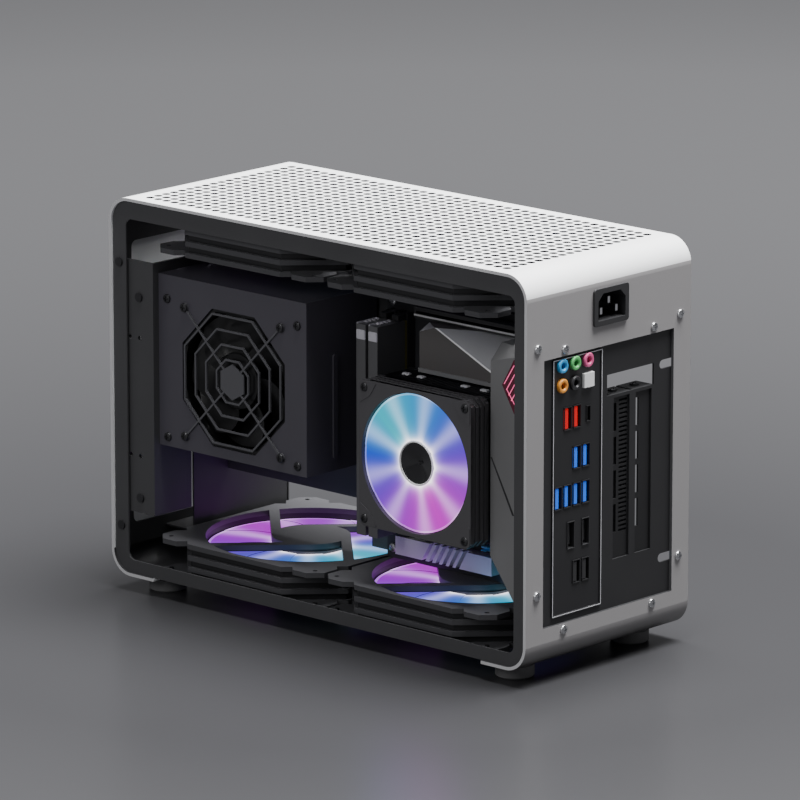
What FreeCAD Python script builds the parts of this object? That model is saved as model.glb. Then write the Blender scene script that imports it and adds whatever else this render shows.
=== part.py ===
"""A small two-chamber computer case with its build installed.

The front faces -Y, the rear with its ports faces +Y and the open board side faces +X.
The near face of the centre tray is the plane X = 0, and the feet stand on Z = 0.
"""
import math
import os
import re

import FreeCAD
import Part

# Driving sizes in millimetres: name, value, meaning
SIZES = (
    ("case_long", 350.0, "shell length, front to rear"),
    ("case_wide", 150.0, "shell width"),
    ("shell_high", 244.0, "shell height without feet"),
    ("shell_sheet", 2.0, "shell sheet thickness"),
    ("shell_bend", 16.0, "outer radius of the shell bends"),
    ("shell_lip", 36.0, "length of the two bottom lips"),
    ("shell_proud", 1.6, "how far screw heads and the button stand out"),
    ("vent_radius", 2.75, "top hole radius"),
    ("vent_pitch", 7.1, "top hole pitch"),
    ("vent_side", 11.0, "plain margin at the sides of the top"),
    ("vent_end", 25.0, "plain margin at the ends of the top"),
    ("foot_high", 10.0, "foot height"),
    ("foot_radius", 12.0, "foot radius"),
    ("foot_side", 53.0, "foot centre from the middle, sideways"),
    ("foot_along", 147.0, "foot centre from the middle, lengthways"),
    ("frame_sheet", 1.2, "inner frame sheet thickness"),
    ("panel_recess", 1.5, "side frame face behind the shell edge"),
    ("ring_top", 11.5, "side frame width along the top"),
    ("ring_bottom", 8.5, "side frame width along the bottom"),
    ("ring_front", 11.5, "side frame width along the front"),
    ("ring_rear", 9.0, "side frame width along the rear"),
    ("ring_corner", 5.0, "corner radius of the side opening"),
    ("ring_screw_down", 40.0, "upper side frame screws below the shell's roof"),
    ("ring_screw_up", 30.0, "lower side frame screws above the shell's floor"),
    ("fan_strip", 18.0, "width of the strips that carry the fans"),
    ("edge_strip", 11.5, "width of the front and rear strips"),
    ("top_drop", 3.8, "top strips below the shell"),
    ("window_top", 29.5, "front window below the inside of the shell"),
    ("window_low", 28.0, "front window above the inside of the shell"),
    ("window_wide", 119.0, "front window width"),
    ("window_corner", 4.0, "front window corner radius"),
    ("cutout_wide", 118.8, "rear shell cut-out width"),
    ("cutout_low", 25.3, "rear shell cut-out lower edge"),
    ("cutout_high", 190.5, "rear shell cut-out upper edge"),
    ("plate_overlap", 8.0, "rear plate overlap above and below the cut-out"),
    ("side_screw_side", 65.2, "outer rear screws from the middle"),
    ("side_screw_low", 46.6, "lower outer rear screws"),
    ("side_screw_high", 198.6, "upper outer rear screws"),
    ("plate_screw_side", 40.7, "rear plate screws from the middle"),
    ("plate_screw_gap", 4.0, "rear plate screws from the cut-out edge"),
    ("screw_head", 2.9, "pan head radius"),
    ("screw_shank", 1.5, "screw shank radius"),
    ("screw_play", 0.1, "clearance around a shank"),
    ("screw_long", 6.0, "shank length under the head"),
    ("inlet_wide", 31.2, "mains inlet flange width"),
    ("inlet_high", 23.0, "mains inlet flange height"),
    ("inlet_rim", 2.0, "mains inlet flange rim around its body"),
    ("inlet_wall", 1.2, "mains inlet body wall"),
    ("inlet_deep", 18.0, "mains inlet body depth"),
    ("inlet_up", 215.1, "mains inlet centre height"),
    ("inlet_bevel", 4.5, "cut corners of the mains inlet"),
    ("pin_wide", 4.0, "inlet pin width"),
    ("pin_thick", 2.0, "inlet pin thickness"),
    ("pin_spread", 7.0, "outer inlet pins from the middle pin"),
    ("pin_step", 3.0, "inlet pins above and below the inlet's centre"),
    ("fit_gap", 0.2, "clearance of a part in its opening"),
    ("slot_wide", 14.6, "expansion slot width"),
    ("slot_pitch", 20.32, "expansion slot pitch"),
    ("slot_first", 13.7, "first expansion slot from the tray"),
    ("slot_low", 55.3, "expansion slot lower end"),
    ("slot_high", 156.0, "expansion slot upper end"),
    ("slot_window", 13.2, "height of the window above the slots"),
    ("slot_ledge", 13.0, "depth of the ledge under the window"),
    ("cover_wide", 18.4, "slot cover width"),
    ("cover_sheet", 1.0, "slot cover thickness"),
    ("cover_slit", 2.6, "slot cover long slit width"),
    ("cover_slit_pitch", 21.0, "slot cover long slit pitch"),
    ("cover_rib_pitch", 2.8, "slot cover rib pitch"),
    ("notch_high", 5.6, "height of the two notches in the rear plate"),
    ("notch_long", 8.0, "length of the two notches in the rear plate"),
    ("notch_low", 47.5, "lower notch in the rear plate"),
    ("notch_up", 169.0, "upper notch in the rear plate"),
    ("tray_front", 145.0, "front edge of the tray from the middle"),
    ("tray_top", 204.0, "upper edge of the tray"),
    ("tray_gap", 59.0, "lower edge of the tray under the power supply"),
    ("tray_step", 20.0, "where the tray steps down, in front of the middle"),
    ("tray_low", 30.0, "lower edge of the tray behind the board"),
    ("tray_flange", 3.0, "rear flange of the tray"),
    ("brace_near", 31.0, "front brace edge on the board side"),
    ("brace_far", 54.0, "front brace edge on the card side"),
    ("brace_low", 4.0, "front brace lower edge"),
    ("brace_high", 86.0, "front brace upper edge"),
    ("bracket_sheet", 2.0, "power supply bracket thickness"),
    ("bracket_gap", 1.3, "power supply bracket behind the side frame"),
    ("bracket_low", 41.5, "power supply bracket lower end"),
    ("bracket_high", 204.0, "power supply bracket upper end"),
    ("bracket_leg", 33.0, "width of the bracket's lower leg"),
    ("bracket_window", 20.0, "bracket window around the inlet module"),
    ("psu_gap", 2.5, "power supply from the tray"),
    ("psu_deep", 63.5, "power supply depth"),
    ("psu_front", 140.5, "power supply front from the middle"),
    ("psu_long", 127.0, "power supply length"),
    ("psu_low", 87.5, "power supply underside"),
    ("psu_high", 110.0, "power supply height"),
    ("psu_wall", 1.2, "power supply wall"),
    ("psu_opening", 88.0, "power supply fan opening across its flats"),
    ("bead_wide", 3.6, "bead on the power supply's rear, width"),
    ("bead_long", 66.0, "bead on the power supply's rear, length"),
    ("bead_low", 8.0, "bead above the power supply's underside"),
    ("bead_from_face", 25.0, "bead behind the power supply's face"),
    ("psu_fan_from_front", 64.6, "power supply fan centre from its front"),
    ("psu_fan_up", 50.4, "power supply fan centre above its underside"),
    ("psu_screw_long", 111.8, "case screw spacing along the power supply"),
    ("psu_screw_high", 88.8, "case screw spacing up the power supply"),
    ("grille_wire", 1.2, "grille wire thickness"),
    ("grille_ring", 12.9, "half width of the inner grille ring"),
    ("grille_plate", 11.5, "corner radius of the plate in the grille"),
    ("grille_step", 9.2, "step between grille rings"),
    ("module_wide", 28.0, "inlet module width"),
    ("module_high", 46.0, "inlet module height"),
    ("rocker_wide", 12.0, "rocker switch width"),
    ("rocker_high", 16.0, "rocker switch height"),
    ("rocker_pin", 1.2, "rocker switch pin radius"),
    ("rocker_sunk", 4.0, "rocker switch pin behind the power supply's front"),
    ("board_size", 170.0, "board edge length"),
    ("board_thick", 1.6, "board thickness"),
    ("board_low", 29.0, "board lower edge"),
    ("board_hole_side", 6.35, "board holes from the upper and lower edge"),
    ("board_hole_rear", 10.16, "rear board holes from the rear edge"),
    ("board_hole_span", 154.94, "board hole spacing, front to rear"),
    ("standoff_high", 6.5, "standoff height"),
    ("standoff_radius", 3.0, "standoff radius"),
    ("shield_wide", 44.45, "input/output shield width"),
    ("shield_high", 158.75, "input/output shield height"),
    ("shield_drop", 2.8, "shield edge behind the board face"),
    ("shield_inset", 0.9, "shield edge above the board's lower edge"),
    ("shield_sheet", 1.0, "shield thickness"),
    ("shield_rim", 1.0, "width of the shield's raised rim"),
    ("shield_flange", 1.5, "shield flange behind the rear plate"),
    ("port_deep", 16.0, "depth of a port behind the shield"),
    ("port_proud", 0.6, "how far a port stands out of the shield"),
    ("port_wall", 0.5, "port shell wall"),
    ("usb_wide", 14.4, "USB port width"),
    ("usb_high", 6.8, "USB port height"),
    ("usb_first", 11.2, "first USB port above the board"),
    ("usb_pitch", 8.4, "USB port pitch"),
    ("usb_tongue", 2.4, "USB tongue thickness"),
    ("small_usb_wide", 10.0, "small USB port width"),
    ("small_usb_high", 3.8, "small USB port height"),
    ("jack_first", 10.4, "first audio jack above the board"),
    ("jack_pitch", 11.55, "audio jack pitch above the board"),
    ("jack_row", 142.1, "lower row of audio jacks along the shield"),
    ("jack_rows", 12.2, "spacing of the two audio jack rows"),
    ("jack_radius", 4.4, "audio jack ring radius"),
    ("jack_bore", 1.9, "audio jack bore radius"),
    ("jack_proud", 2.0, "how far a jack stands out of the shield"),
    ("row_red", 121.0, "first USB row along the shield"),
    ("row_pair", 95.7, "second USB row along the shield"),
    ("row_quad", 73.0, "third USB row along the shield"),
    ("row_video", 48.3, "video port row along the shield"),
    ("row_black", 24.9, "last USB row along the shield"),
    ("video_wide", 17.0, "video port width"),
    ("video_high", 6.6, "video port height"),
    ("cpu_size", 45.0, "processor socket edge length"),
    ("cpu_high", 5.0, "processor height above the board"),
    ("cooler_along", 77.9, "cooler centre behind the middle"),
    ("cooler_up", 112.4, "cooler centre height"),
    ("cooler_size", 90.0, "cooler heat sink edge length"),
    ("cooler_foot", 40.0, "cooler foot edge length"),
    ("cooler_foot_high", 8.0, "cooler foot height"),
    ("cooler_base", 3.0, "cooler base plate"),
    ("fin_high", 27.5, "fin height"),
    ("fin_thick", 0.7, "fin thickness"),
    ("fin_pitch", 3.0, "fin pitch"),
    ("dimm_first", 9.3, "first memory slot behind the board's front edge"),
    ("dimm_pitch", 10.0, "memory slot pitch"),
    ("dimm_wide", 8.0, "memory slot width"),
    ("dimm_high", 7.0, "memory slot height"),
    ("dimm_low", 17.5, "memory slot lower end above the board edge"),
    ("dimm_long", 142.0, "memory slot length"),
    ("dimm_end", 4.4, "closed lower end of the memory slot"),
    ("stick_long", 133.35, "memory stick length"),
    ("stick_high", 30.0, "memory stick height"),
    ("stick_thick", 7.6, "memory stick thickness with its spreader"),
    ("stick_board", 1.4, "memory stick circuit board"),
    ("stick_seat", 3.0, "memory stick depth in its slot"),
    ("latch_wide", 5.6, "memory latch width"),
    ("latch_thick", 3.4, "memory latch thickness"),
    ("latch_high", 14.0, "memory latch height"),
    ("latch_pin", 1.0, "memory latch pin radius"),
    ("latch_up", 3.2, "memory latch pin above the board"),
    ("latch_gap", 0.4, "clearance around a memory latch"),
    ("pcie_long", 90.0, "expansion socket length"),
    ("pcie_from_rear", 47.5, "expansion socket from the board's rear edge"),
    ("pcie_wide", 7.0, "expansion socket width"),
    ("pcie_high", 11.3, "expansion socket height"),
    ("pcie_edge", 3.7, "expansion socket from the board's upper edge"),
    ("pcie_slit", 2.0, "expansion socket slit"),
    ("drive_long", 80.0, "drive heat sink length"),
    ("drive_wide", 11.6, "drive heat sink width"),
    ("drive_high", 8.0, "drive heat sink height"),
    ("drive_from_front", 14.0, "drive heat sink from the board's front edge"),
    ("drive_edge", 5.5, "drive heat sink from the board's lower edge"),
    ("drive_groove", 2.6, "drive heat sink groove"),
    ("drive_groove_pitch", 5.6, "drive heat sink groove pitch"),
    ("drive_groove_start", 15.5, "first drive heat sink groove from its front end"),
    ("cover_front", 46.6, "board cover from the board's rear edge"),
    ("cover_back", 2.5, "board cover's rear edge from the board's rear edge"),
    ("cover_high", 42.0, "board cover height over the ports"),
    ("cover_wall", 2.0, "board cover wall"),
    ("cover_low", 2.0, "board cover from the board's lower edge"),
    ("cover_top", 8.0, "board cover from the board's upper edge"),
    ("arm_front", 123.0, "front of the cover's arm from the board's rear edge"),
    ("arm_high", 22.0, "cover arm height"),
    ("arm_wide", 27.0, "cover arm width"),
    ("arm_bevel", 10.0, "bevel of the cover arm"),
    ("cover_bevel", 2.4, "bevel of the board cover"),
    ("cover_slope", 21.3, "slanted lower front corner of the board cover, lengthways"),
    ("cover_rise", 28.7, "slanted lower front corner of the board cover, upwards"),
    ("cover_ease", 2.0, "small bevel along the top of the board cover"),
    ("header_wide", 6.0, "small header width"),
    ("header_high", 8.0, "small header height"),
    ("fan_pitch", 143.0, "case fan pitch"),
    ("fan_middle", 1.0, "middle between the fans in front of the case's middle"),
    ("fan_gap", 0.8, "clearance around a fan rotor"),
    ("fan_shaft", 2.0, "fan shaft radius"),
    ("fan_play", 0.05, "running clearance of a fan shaft"),
    ("blade_thick", 1.6, "fan blade thickness"),
    ("case_fan_size", 140.0, "case fan edge length"),
    ("case_fan_thick", 25.0, "case fan thickness"),
    ("case_fan_bore", 66.5, "case fan opening radius"),
    ("case_fan_hub", 25.0, "case fan hub radius"),
    ("case_fan_holes", 124.5, "case fan hole spacing"),
    ("case_fan_ear", 13.8, "half width of a case fan ear"),
    ("case_fan_tip", 93.4, "case fan ear ends from its centre"),
    ("case_fan_corner", 78.1, "case fan cut corners from its centre"),
    ("case_fan_band", 3.2, "case fan edge bands"),
    ("case_fan_groove", 2.4, "depth of the grooves between case fan bands"),
    ("case_fan_web", 4.0, "case fan strut thickness"),
    ("case_fan_strut", 6.5, "case fan strut width"),
    ("case_fan_chord", 42.0, "case fan blade chord"),
    ("case_fan_tilt", 24.0, "case fan blade tilt in degrees"),
    ("cooler_fan_size", 92.0, "cooler fan edge length"),
    ("cooler_fan_thick", 16.0, "cooler fan thickness"),
    ("cooler_fan_bore", 43.6, "cooler fan opening radius"),
    ("cooler_fan_hub", 14.0, "cooler fan hub radius"),
    ("cooler_fan_holes", 82.5, "cooler fan hole spacing"),
    ("cooler_fan_ear", 6.0, "half width of a cooler fan ear"),
    ("cooler_fan_tip", 62.6, "cooler fan ear ends from its centre"),
    ("cooler_fan_corner", 62.0, "cooler fan cut corners from its centre"),
    ("cooler_fan_band", 2.4, "cooler fan edge bands"),
    ("cooler_fan_groove", 1.2, "depth of the grooves between cooler fan bands"),
    ("cooler_fan_web", 2.6, "cooler fan strut thickness"),
    ("cooler_fan_strut", 4.0, "cooler fan strut width"),
    ("cooler_fan_chord", 28.0, "cooler fan blade chord"),
    ("cooler_fan_tilt", 22.0, "cooler fan blade tilt in degrees"),
    ("psu_fan_size", 92.0, "power supply fan edge length"),
    ("psu_fan_thick", 20.0, "power supply fan thickness"),
    ("psu_fan_bore", 43.0, "power supply fan opening radius"),
    ("psu_fan_hub", 19.0, "power supply fan hub radius"),
    ("psu_fan_holes", 82.5, "power supply fan hole spacing"),
    ("psu_fan_ear", 4.7, "half width of a power supply fan ear"),
    ("psu_fan_tip", 62.6, "power supply fan ear ends from its centre"),
    ("psu_fan_corner", 56.0, "power supply fan cut corners from its centre"),
    ("psu_fan_band", 2.8, "power supply fan edge bands"),
    ("psu_fan_groove", 1.2, "depth of the grooves between power supply fan bands"),
    ("psu_fan_web", 3.0, "power supply fan strut thickness"),
    ("psu_fan_strut", 5.0, "power supply fan strut width"),
    ("psu_fan_chord", 32.0, "power supply fan blade chord"),
    ("psu_fan_tilt", 26.0, "power supply fan blade tilt in degrees"),
    ("button_radius", 4.5, "power button radius"),
    ("button_gap", 0.3, "clearance around the power button"),
    ("button_wall", 1.2, "power button housing wall"),
    ("button_deep", 15.0, "power button housing depth"),
    ("button_long", 10.6, "power button length"),
    ("button_up", 219.3, "power button height"),
)

doc = FreeCAD.newDocument("computer_case")
sheet = doc.addObject("Spreadsheet::Sheet", "sizes")
for row, (alias, value, note) in enumerate(SIZES, 1):
    sheet.set(f"A{row}", note)
    sheet.set(f"B{row}", str(value))
    sheet.setAlias(f"B{row}", alias)
doc.recompute()

ALIASES = re.compile(r"\b(" + "|".join(alias for alias, value, note in SIZES) + r")\b")
NODES = []

# Planes that many pieces share
NEAR = "(case_wide / 2)"
REAR = "(case_long / 2)"
FLOOR = "foot_high"
ROOF = "(foot_high + shell_high)"
IN_REAR = "(case_long / 2 - shell_sheet)"
IN_FLOOR = "(foot_high + shell_sheet)"
IN_ROOF = "(foot_high + shell_high - shell_sheet)"
RING_OUT = "(case_wide / 2 - panel_recess)"
RING_IN = "(case_wide / 2 - panel_recess - frame_sheet)"
PLATE_FRONT = "(case_long / 2 - shell_sheet - frame_sheet)"
FRONT_PLATE = "(2 * frame_sheet + shell_sheet - case_long / 2)"
BOARD_FACE = "(standoff_high + board_thick)"
BOARD_LOW = "(foot_high + board_low)"
BOARD_HIGH = "(foot_high + board_low + board_size)"
BOARD_REAR = f"({PLATE_FRONT} - shield_sheet - fit_gap)"
BOARD_FRONT = f"({BOARD_REAR} - board_size)"
SHIELD_SIDE = f"({BOARD_FACE} - shield_drop)"
SHIELD_LOW = f"({BOARD_LOW} + shield_inset)"
SHIELD_FACE = f"({IN_REAR} + port_proud / 2)"
PSU_FACE = "(psu_gap + psu_deep)"
PSU_LOW = "(foot_high + psu_low)"
TOP_FAN = f"({IN_ROOF} - top_drop - frame_sheet - case_fan_thick)"
LOW_FAN = f"({IN_FLOOR} + frame_sheet)"
FAN_ROWS = ("-(fan_pitch / 2) - fan_middle", "fan_pitch / 2 - fan_middle")

TURNS = {
    "x": FreeCAD.Rotation(FreeCAD.Vector(0, 1, 0), 90),
    "y": FreeCAD.Rotation(FreeCAD.Vector(1, 0, 0), -90),
    "z": FreeCAD.Rotation(),
    "-x": FreeCAD.Rotation(FreeCAD.Vector(0, 1, 0), -90),
}


# Helpers

def value(alias):
    """The number a size holds in the sheet."""
    return float(sheet.get(alias))


def expr(text):
    """Turns bare size names into references to the sheet."""
    return ALIASES.sub(r"sizes.\1", str(text))


def bind(thing, **values):
    """Binds properties of an object to expressions."""
    for name, text in values.items():
        thing.setExpression(name, expr(text))


def place(thing, x, y, z):
    """Binds the place of an object to expressions."""
    for axis, text in zip("xyz", (x, y, z)):
        thing.setExpression("Placement.Base." + axis, expr(text))
    return thing


def block(x, y, z):
    """A box between a low and a high bound on each axis."""
    thing = doc.addObject("Part::Box", "block")
    bind(thing, Length=f"({x[1]}) - ({x[0]})", Width=f"({y[1]}) - ({y[0]})", Height=f"({z[1]}) - ({z[0]})")
    return place(thing, x[0], y[0], z[0])


def along(thing, axis, reach, at):
    """Lays an object along an axis, starting at the low end of its reach."""
    thing.Placement = FreeCAD.Placement(FreeCAD.Vector(), TURNS[axis])
    spot = dict(zip([name for name in "xyz" if name != axis], at))
    spot[axis] = reach[0]
    bind(thing, Height=f"({reach[1]}) - ({reach[0]})")
    return place(thing, spot["x"], spot["y"], spot["z"])


def rod(axis, radius, reach, at):
    """A round bar along an axis, centred on the two other coordinates."""
    thing = doc.addObject("Part::Cylinder", "rod")
    bind(thing, Radius=radius)
    return along(thing, axis, reach, at)


def prism(axis, sides, radius, reach, at):
    """A bar with a regular outline along an axis."""
    thing = doc.addObject("Part::Prism", "prism")
    thing.Polygon = sides
    bind(thing, Circumradius=radius)
    return along(thing, axis, reach, at)


def spoke(angle, length, side, z):
    """A bar that leaves the Z axis at an angle, between two sideways bounds."""
    thing = doc.addObject("Part::Box", "spoke")
    thing.Placement = FreeCAD.Placement(FreeCAD.Vector(), FreeCAD.Rotation(FreeCAD.Vector(0, 0, 1), angle))
    bind(thing, Length=length, Width=f"({side[1]}) - ({side[0]})", Height=f"({z[1]}) - ({z[0]})")
    return place(thing, f"-({side[0]}) * sin({angle})", f"({side[0]}) * cos({angle})", z[0])


def fuse(things):
    """Several touching shapes as one solid."""
    thing = doc.addObject("Part::MultiFuse", "joined")
    thing.Shapes = things
    thing.Refine = True
    return thing


def group(things):
    """Several separate solids kept together."""
    thing = doc.addObject("Part::Compound", "group")
    thing.Links = things
    return thing


def shared(things):
    """What several shapes have in common."""
    thing = doc.addObject("Part::MultiCommon", "common")
    thing.Shapes = things
    return thing


def cut(base, tools):
    """A shape with tools taken away."""
    thing = doc.addObject("Part::Cut", "cut")
    thing.Base = base
    thing.Tool = tools[0] if len(tools) == 1 else fuse(tools)
    return thing


def copy(thing, x="0", y="0", z="0", turn=FreeCAD.Rotation()):
    """The same shape at another place."""
    twin = group([thing])
    twin.Placement = FreeCAD.Placement(FreeCAD.Vector(), turn)
    return place(twin, x, y, z)


def mirrored(thing):
    """The same shape on the other side of the plane X = 0."""
    twin = doc.addObject("Part::Mirroring", "mirrored")
    twin.Source = thing
    twin.Normal = FreeCAD.Vector(1, 0, 0)
    return twin


def rounded(axis, x, y, z, radius):
    """A box whose four edges along one axis are rounded."""
    spans = {"x": x, "y": y, "z": z}
    first, second = [name for name in "xyz" if name != axis]
    inner = {name: (f"({low}) + {radius}", f"({high}) - {radius}") for name, (low, high) in spans.items()}
    narrow = block(**{**spans, first: inner[first]})
    flat = block(**{**spans, second: inner[second]})
    corners = [rod(axis, radius, spans[axis], (a, b)) for a in inner[first] for b in inner[second]]
    return fuse([narrow, flat] + corners)


def grown(span, by):
    """A span made longer at both ends."""
    return (f"({span[0]}) - {by}", f"({span[1]}) + {by}")


def around(centre, width):
    """A span of a width about a centre."""
    return (f"({centre}) - ({width}) / 2", f"({centre}) + ({width}) / 2")


def screw(axis, face, outward, at, cap="shell_proud", length="screw_long"):
    """A pan head screw whose head sits on a face and points outward along an axis."""
    if outward > 0:
        head, shank = (face, f"({face}) + {cap}"), (f"({face}) - ({length})", face)
    else:
        head, shank = (f"({face}) - {cap}", face), (face, f"({face}) + {length}")
    return fuse([rod(axis, "screw_head", head, at), rod(axis, "screw_shank", shank, at)])


def corners(first, second, spacing, other=None):
    """The four corners of a square or a rectangle about a centre."""
    return [(f"{first} + {a}{spacing} / 2", f"{second} + {b}{other or spacing} / 2")
            for a in ("", "-") for b in ("", "-")]


def screw_hole(axis, reach, at):
    """A clearance hole for a screw shank."""
    return rod(axis, "screw_shank + screw_play", reach, at)


def node(label, thing):
    """Names a finished piece and keeps it for the export."""
    thing.Label = label
    NODES.append(thing)
    return thing


# Shell, feet and rear screws

SIDE_SCREWS = [(f"{sign}side_screw_side", f"{FLOOR} + {up}")
               for sign in ("", "-") for up in ("side_screw_low", "side_screw_high")]
PLATE_LEVELS = ("cutout_low - plate_screw_gap", "cutout_high + plate_screw_gap")
PLATE_SCREWS = [(f"{sign}plate_screw_side", f"{FLOOR} + {up}") for sign in ("", "-") for up in PLATE_LEVELS]
BODY_WIDE = "(inlet_wide - 2 * inlet_rim)"
BODY_HIGH = "(inlet_high - 2 * inlet_rim)"
INLET_UP = f"({FLOOR} + inlet_up)"
BUTTON_UP = f"({FLOOR} + button_up)"
HOUSING_RADIUS = "(button_radius + button_gap + button_wall)"


def top_vents():
    """The grid of round holes in the top."""
    rows = int((value("case_wide") - 2 * value("vent_side")) / value("vent_pitch")) + 1
    columns = int((value("case_long") - 2 * value("vent_end")) / value("vent_pitch")) + 1
    reach = (f"{ROOF} - shell_sheet - 1", f"{ROOF} + 1")
    places = [f"({row} - {rows - 1} / 2) * vent_pitch" for row in range(rows)]
    column = group([rod("z", "vent_radius", reach, (x, "0")) for x in places])
    return group([copy(column, y=f"({index} - {columns - 1} / 2) * vent_pitch") for index in range(columns)])


def build_shell():
    wide = (f"-{NEAR}", NEAR)
    skin = rounded("x", wide, (f"-{REAR}", REAR), (FLOOR, ROOF), "shell_bend")
    hollow = rounded("x", grown(wide, 1), (f"-{IN_REAR}", IN_REAR), (IN_FLOOR, IN_ROOF),
                     "(shell_bend - shell_sheet)")
    gap = block(grown(wide, 1), (f"shell_lip - {REAR}", f"{REAR} - shell_lip"), grown((FLOOR, IN_FLOOR), 1))
    through = grown((IN_REAR, REAR), 1)
    window = block(around("0", "cutout_wide"), through, (f"{FLOOR} + cutout_low", f"{FLOOR} + cutout_high"))
    inlet = block(around("0", f"{BODY_WIDE} + 2 * fit_gap"), through,
                  around(INLET_UP, f"{BODY_HIGH} + 2 * fit_gap"))
    holes = [screw_hole("y", through, at) for at in SIDE_SCREWS + PLATE_SCREWS]
    button = rod("y", "button_radius + button_gap", grown((f"-{REAR}", f"-{IN_REAR}"), 1), ("0", BUTTON_UP))
    closed = cut(skin, [hollow, gap, window, inlet, button] + holes)
    node("outer_shell", cut(closed, [top_vents()]))

    feet = [rod("z", "foot_radius", ("0", FLOOR), (f"{sign}foot_side", y))
            for sign in ("", "-") for y in ("-foot_along", "foot_along")]
    node("feet", group(feet))
    node("rear_screws", group([screw("y", REAR, 1, at) for at in SIDE_SCREWS + PLATE_SCREWS]))


# Side frames, front plate and rear plate

FAN_HOLES = [(f"{sign}case_fan_holes / 2", f"{row} + {end}case_fan_holes / 2")
             for sign in ("", "-") for row in FAN_ROWS for end in ("", "-")]
TOP_STRIP = (f"{IN_ROOF} - top_drop - frame_sheet", f"{IN_ROOF} - top_drop")
LOW_STRIP = (IN_FLOOR, f"{IN_FLOOR} + frame_sheet")
RING_SCREWS = [(f"ring_front / 2 - {IN_REAR}", f"{IN_ROOF} - ring_screw_down"),
               (f"ring_front / 2 - {IN_REAR}", f"{IN_FLOOR} + ring_screw_up")]


def build_side_frames():
    ring = (RING_IN, RING_OUT)
    length, height = (f"-{IN_REAR}", IN_REAR), (IN_FLOOR, IN_ROOF)
    sheet_ring = rounded("x", ring, length, height, "(shell_bend - shell_sheet)")
    opening = rounded("x", grown(ring, 1), (f"ring_front - {IN_REAR}", f"{IN_REAR} - ring_rear"),
                      (f"{IN_FLOOR} + ring_bottom", f"{IN_ROOF} - ring_top"), "ring_corner")
    straight = (f"shell_bend - {REAR}", f"{REAR} - shell_bend")
    upright = (f"{FLOOR} + shell_bend", f"{ROOF} - shell_bend")
    deep, shallow = (f"{RING_IN} - fan_strip", RING_IN), (f"{RING_IN} - edge_strip", RING_IN)
    strips = [block(deep, straight, TOP_STRIP), block(deep, straight, LOW_STRIP),
              block(shallow, (f"-{IN_REAR}", f"frame_sheet - {IN_REAR}"), upright),
              block(shallow, (PLATE_FRONT, IN_REAR), upright)]
    near_holes = [at for at in FAN_HOLES if not at[0].startswith("-")]
    holes = [rod("z", "screw_shank + screw_play", grown(span, 1), at)
             for span in (TOP_STRIP, LOW_STRIP) for at in near_holes]
    holes += [screw_hole("y", grown((PLATE_FRONT, IN_REAR), 1), at) for at in SIDE_SCREWS[:2]]
    holes += [screw_hole("x", grown(ring, 1), at) for at in RING_SCREWS]
    frame = node("near_frame", cut(fuse([cut(sheet_ring, [opening])] + strips), holes))
    node("far_frame", mirrored(frame))


def build_front_plate():
    span = (f"-{RING_IN}", RING_IN)
    thick = (f"{FRONT_PLATE} - frame_sheet", FRONT_PLATE)
    plate = block(span, thick, (f"{FLOOR} + shell_bend", f"{ROOF} - shell_bend"))
    window = rounded("y", around("0", "window_wide"), grown(thick, 1),
                     (f"{IN_FLOOR} + window_low", f"{IN_ROOF} - window_top"), "window_corner")
    button = rod("y", f"{HOUSING_RADIUS} + screw_play", grown(thick, 1), ("0", BUTTON_UP))
    node("front_plate", cut(plate, [window, button]))


SLOTS = ["-slot_first", "-slot_first - slot_pitch"]
LEDGE_TOP = f"({FLOOR} + slot_high + cover_sheet)"
COVER_TOP = f"({LEDGE_TOP} + cover_sheet)"
SLOT_SPAN = ("-slot_first - slot_pitch - cover_wide / 2", "-fit_gap")
LEDGE_SPAN = (f"{PLATE_FRONT} - slot_ledge", f"{PLATE_FRONT} - cover_sheet - fit_gap")
SLOT_SCREWS = [(x, f"{PLATE_FRONT} - slot_ledge / 2") for x in SLOTS]


def build_rear_plate():
    side = f"({RING_IN} - edge_strip - fit_gap)"
    thick = (PLATE_FRONT, IN_REAR)
    through = grown(thick, 1)
    plate = block((f"-{side}", side), thick,
                  (f"{FLOOR} + cutout_low - plate_overlap", f"{FLOOR} + cutout_high + plate_overlap"))
    aperture = block(grown((SHIELD_SIDE, f"{SHIELD_SIDE} + shield_wide"), "fit_gap"), through,
                     grown((SHIELD_LOW, f"{SHIELD_LOW} + shield_high"), "fit_gap"))
    slots = [block(around(x, "slot_wide"), through, (f"{FLOOR} + slot_low", f"{FLOOR} + slot_high"))
             for x in SLOTS]
    window = block(SLOT_SPAN, through, (COVER_TOP, f"{COVER_TOP} + slot_window"))
    notches = []
    for up in ("notch_low", "notch_up"):
        tip = "notch_long - cutout_wide / 2"
        notches.append(block((f"-{side} - 1", tip), through, around(f"{FLOOR} + {up}", "notch_high")))
        notches.append(rod("y", "notch_high / 2", through, (tip, f"{FLOOR} + {up}")))
    holes = [screw_hole("y", through, at) for at in PLATE_SCREWS]
    sheet_plate = cut(plate, [aperture, window] + slots + notches + holes)

    ledge_z = (f"{LEDGE_TOP} - frame_sheet", LEDGE_TOP)
    end = f"({SLOT_SPAN[0]} - bracket_sheet)"
    ledge = block((end, "-frame_sheet"), LEDGE_SPAN, ledge_z)
    ear = block((end, SLOT_SPAN[0]), (LEDGE_SPAN[0], PLATE_FRONT), ledge_z)
    drilled = [screw_hole("z", grown(ledge_z, 1), at) for at in SLOT_SCREWS]
    node("rear_plate", cut(fuse([sheet_plate, ledge, ear]), drilled))


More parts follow.
